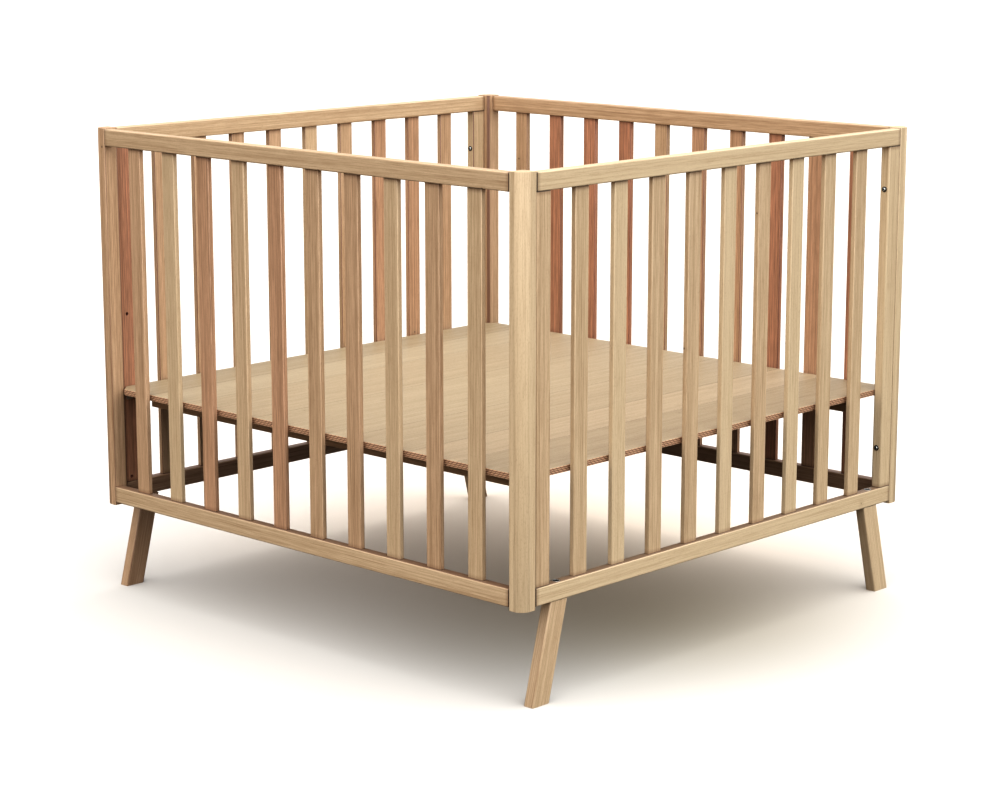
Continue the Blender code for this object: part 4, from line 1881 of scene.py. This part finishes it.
    def fasten(
        self,
        bm: bmesh.types.BMesh,
        place: Matrix,
        name: str,
        finishes: tuple[MetalFinish, ...] = (ZINC,),
        nodes: tuple[str, ...] = (),
    ) -> None:
        """Put a steel shape in its place on the frame.

        Args:
            bm: The shape, at the origin.
            place: Where it goes.
            name: The piece's name.
            finishes: Its finishes, in the order of its faces' materials.
            nodes: The solids that it stands for.
        """
        bmesh.ops.transform(bm, matrix=place, verts=bm.verts)
        materials = [self.shop.dress(finish) for finish in finishes]
        hand_over(bm, name, "frame", materials, nodes)

    def panel_bolt(self, side: Side, end: End, level: str) -> None:
        """Make one bolt from a stile into a post, its collar and its insert.

        Args:
            side: Its side of the pen.
            end: Its end of the pen.
            level: Whether it is the upper or lower bolt.
        """
        node = f"{side.word}_panel_bolt_{end.word}_{level}"
        low, high = corners(node)
        middle = centre(node)
        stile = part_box(f"{side.word}_stile_{end.word}")
        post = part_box(f"post_{end.word}_{side.word}")
        sy = end.value
        stile_face = stile[0][1] if sy > 0 else stile[1][1]
        tip = high.y if sy > 0 else low.y
        post_face = post[0][1] if sy > 0 else post[1][1]
        seat = Vector((middle.x, stile_face - sy * self.collar_height / 2, middle.z))
        base = Vector((middle.x, stile_face, middle.z))
        mouth = Vector((middle.x, post_face + sy * self.mouth_depth, middle.z))
        out = Vector((0, -sy, 0))
        bolt = self.bolt_shape(self.head, abs(tip - seat.y), self.socket)
        self.fasten(bolt, aim(seat, out), f"{node}_steel", (ZINC, BLACK_STEEL_AND_SHADE), (node,))
        collar = self.ring(self.collar, self.shank, self.collar_height)
        self.fasten(collar, aim(base, out), f"{node}_collar", (BLACK_STEEL_AND_SHADE,))
        insert = self.insert_shape(self.joints.insert_depth)
        self.fasten(insert, aim(mouth, out), f"{node}_insert")

    def leg_bolt(self, side: Side, end: End) -> None:
        """Make one bolt from the bottom rail down into a leg, its cup and its insert.

        Args:
            side: Its side of the pen.
            end: Its end of the pen.
        """
        node = f"leg_bolt_{end.word}_{side.word}"
        low, high = corners(node)
        middle = centre(node)
        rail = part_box(f"{side.word}_bottom_rail_with_slats")
        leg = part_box(f"leg_{end.word}_{side.word}")
        seat = Vector((middle.x, middle.y, high.z - self.dome))
        brim = Vector((middle.x, middle.y, rail[0][2] + self.joints.side_rail))
        mouth = Vector((middle.x, middle.y, leg[1][2] - self.leg_mouth_depth))
        bolt = self.bolt_shape(self.leg_head, seat.z - low.z, self.leg_socket)
        place = Matrix.Translation(seat)
        self.fasten(bolt, place, f"{node}_steel", (ZINC, BLACK_STEEL_AND_SHADE), (node,))
        place = Matrix.Translation(brim)
        self.fasten(self.cup_shape(), place, f"{node}_cup", (ZINC, BLACK_STEEL_AND_SHADE))
        insert = self.insert_shape(self.joints.insert_depth)
        self.fasten(insert, Matrix.Translation(mouth), f"{node}_insert")


# --- Studio -----------------------------------------------------------------------------------
@dataclass
class Studio:
    """White floor with painted light and shadow under the pen, soft light from all round and above,
    and a long lens.

    Attributes:
        camera_at: Where the camera stands.
        tilt: Degrees from straight down.
        turn: Degrees the camera is turned about the upright.
        lens: Focal length, in millimetres.
        horizon: Light from level with the pen.
        zenith: Light from straight above.
        key: Light that the brightest side of the room adds.
        key_from: Direction of the brightest side.
        fill: Light that the front of the room adds.
        fill_from: Direction of the front of the room.
        dim: How much darker the room's left is.
        paper: Colour of the floor.
        bounce: Colour of the floor as the pen is lit by it.
        rounds: Soft rounds of painted light and shadow on the floor under the pen: colour, middle
            and reach.
    """

    camera_at: tuple[float, float, float] = (3.0291, -3.1922, 1.2485)
    tilt: float = 78.407
    turn: float = 43.567
    lens: float = 90.1
    horizon: Colour = (0.34, 0.17, 0.04)
    zenith: Colour = (1.70, 1.70, 1.72)
    key: Colour = (1.01, 1.11, 1.14)
    key_from: tuple[float, float, float] = (0.75, 0.05, 0.62)
    fill: Colour = (0.84, 0.79, 0.71)
    fill_from: tuple[float, float, float] = (0.0, -0.75, 0.65)
    dim: float = 0.5
    paper: Colour = (0.61, 0.585, 0.56)
    bounce: Colour = (0.03, 0.022, 0.015)
    rounds: tuple[tuple[Colour, tuple[float, float, float], float], ...] = (
        ((1.49, 1.34, 1.18), (-0.144, 0.321, 0.0), 0.92),
        ((0.64, 0.61, 0.54), (0.326, 0.031, 0.0), 0.62),
    )

    def build(self) -> None:
        """Set up the floor, the light and the camera."""
        self.floor()
        self.light()
        self.camera()
        view = bpy.context.scene.view_settings
        view.view_transform = "Standard"
        view.gamma = 0.78

    def floor(self) -> None:
        """Lay the white floor, with painted light and shadow under the pen."""
        bm = bmesh.new()
        bmesh.ops.create_circle(bm, cap_ends=True, segments=96, radius=40)
        mesh = bpy.data.meshes.new("studio_floor")
        bm.to_mesh(mesh)
        bm.free()
        material = bpy.data.materials.new("white_paper")
        material.use_nodes = True
        tree = material.node_tree
        shader = next(node for node in tree.nodes if node.type == "BSDF_PRINCIPLED")
        graph = Graph(tree)
        seen = graph.node("ShaderNodeLightPath").outputs["Is Camera Ray"]
        place = graph.node("ShaderNodeTexCoord").outputs["Object"]
        paper = self.paper
        # Painted light and shadow on the floor: the first round brightens and warms the paper under
        # the pen, the second darkens it to its right.
        for painted_tint, middle, reach in self.rounds:
            away = graph.node("ShaderNodeVectorMath", operation="DISTANCE")
            graph.link(place, away.inputs[0])
            away.inputs[1].default_value = middle
            near = graph.span(away.outputs["Value"], reach, 0.0)
            paper = graph.mix(near, paper, painted_tint, "MULTIPLY")
        colour = graph.mix(seen, self.bounce, paper)
        graph.link(colour, shader.inputs["Base Color"])
        shader.inputs["Roughness"].default_value = 0.9
        shader.inputs["Specular IOR Level"].default_value = 0.0
        mesh.materials.append(material)
        ground = bpy.data.objects.new("studio_floor", mesh)
        bpy.context.scene.collection.objects.link(ground)

    def light(self) -> None:
        """Light the room from all round, most of all from one side and above."""
        world = bpy.data.worlds.new("studio_room")
        world.use_nodes = True
        bpy.context.scene.world = world
        graph = Graph(world.node_tree)
        backdrop = next(node for node in world.node_tree.nodes if node.type == "BACKGROUND")
        output = next(node for node in world.node_tree.nodes if node.type == "OUTPUT_WORLD")
        backdrop.inputs["Color"].default_value = (1, 1, 1, 1)
        direction = graph.node("ShaderNodeTexCoord").outputs["Generated"]
        height = graph.span(graph.parts(direction)[2], -0.05, 0.42)
        sky = graph.mix(height, self.horizon, self.zenith)
        for colour, source in ((self.key, self.key_from), (self.fill, self.fill_from)):
            toward = graph.node("ShaderNodeVectorMath", operation="DOT_PRODUCT")
            graph.link(direction, toward.inputs[0])
            toward.inputs[1].default_value = Vector(source).normalized()
            glow = graph.span(toward.outputs["Value"], 0.0, 1.0)
            sky = graph.mix(glow, sky, colour, "ADD")
        dark = graph.span(graph.parts(direction)[0], 0.0, -0.9)
        sky = graph.mix(graph.math("MULTIPLY", dark, self.dim), sky, (0, 0, 0))
        room = graph.node("ShaderNodeBackground")
        graph.link(sky, room.inputs["Color"])
        seen = graph.node("ShaderNodeLightPath").outputs["Is Camera Ray"]
        blend = graph.node("ShaderNodeMixShader")
        graph.link(seen, blend.inputs[0])
        graph.link(room.outputs[0], blend.inputs[1])
        graph.link(backdrop.outputs[0], blend.inputs[2])
        graph.link(blend.outputs[0], output.inputs["Surface"])

    def camera(self) -> None:
        """Stand the camera where the near corner leads."""
        data = bpy.data.cameras.new("studio_camera")
        data.lens = self.lens
        data.clip_start = 0.05
        data.clip_end = 200
        camera = bpy.data.objects.new("studio_camera", data)
        camera.location = self.camera_at
        camera.rotation_euler = (math.radians(self.tilt), 0, math.radians(self.turn))
        bpy.context.scene.collection.objects.link(camera)
        bpy.context.scene.camera = camera


def main() -> None:
    """Build the pen and the studio."""
    logging.basicConfig(level=logging.INFO, format="%(name)s: %(message)s")
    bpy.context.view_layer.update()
    shop = FinishShop()
    joints = Joinery()
    CornerPosts(shop, joints).build()
    for end in End:
        EndPanel(shop, joints, end).build()
    for side in Side:
        SidePanel(shop, joints, side).build()
    Legs(shop, joints).build()
    PlayFloor(shop).build()
    Hardware(shop, joints).build()
    Studio().build()
    LOG.info("sizes kept")


if __name__ == "__main__":
    main()
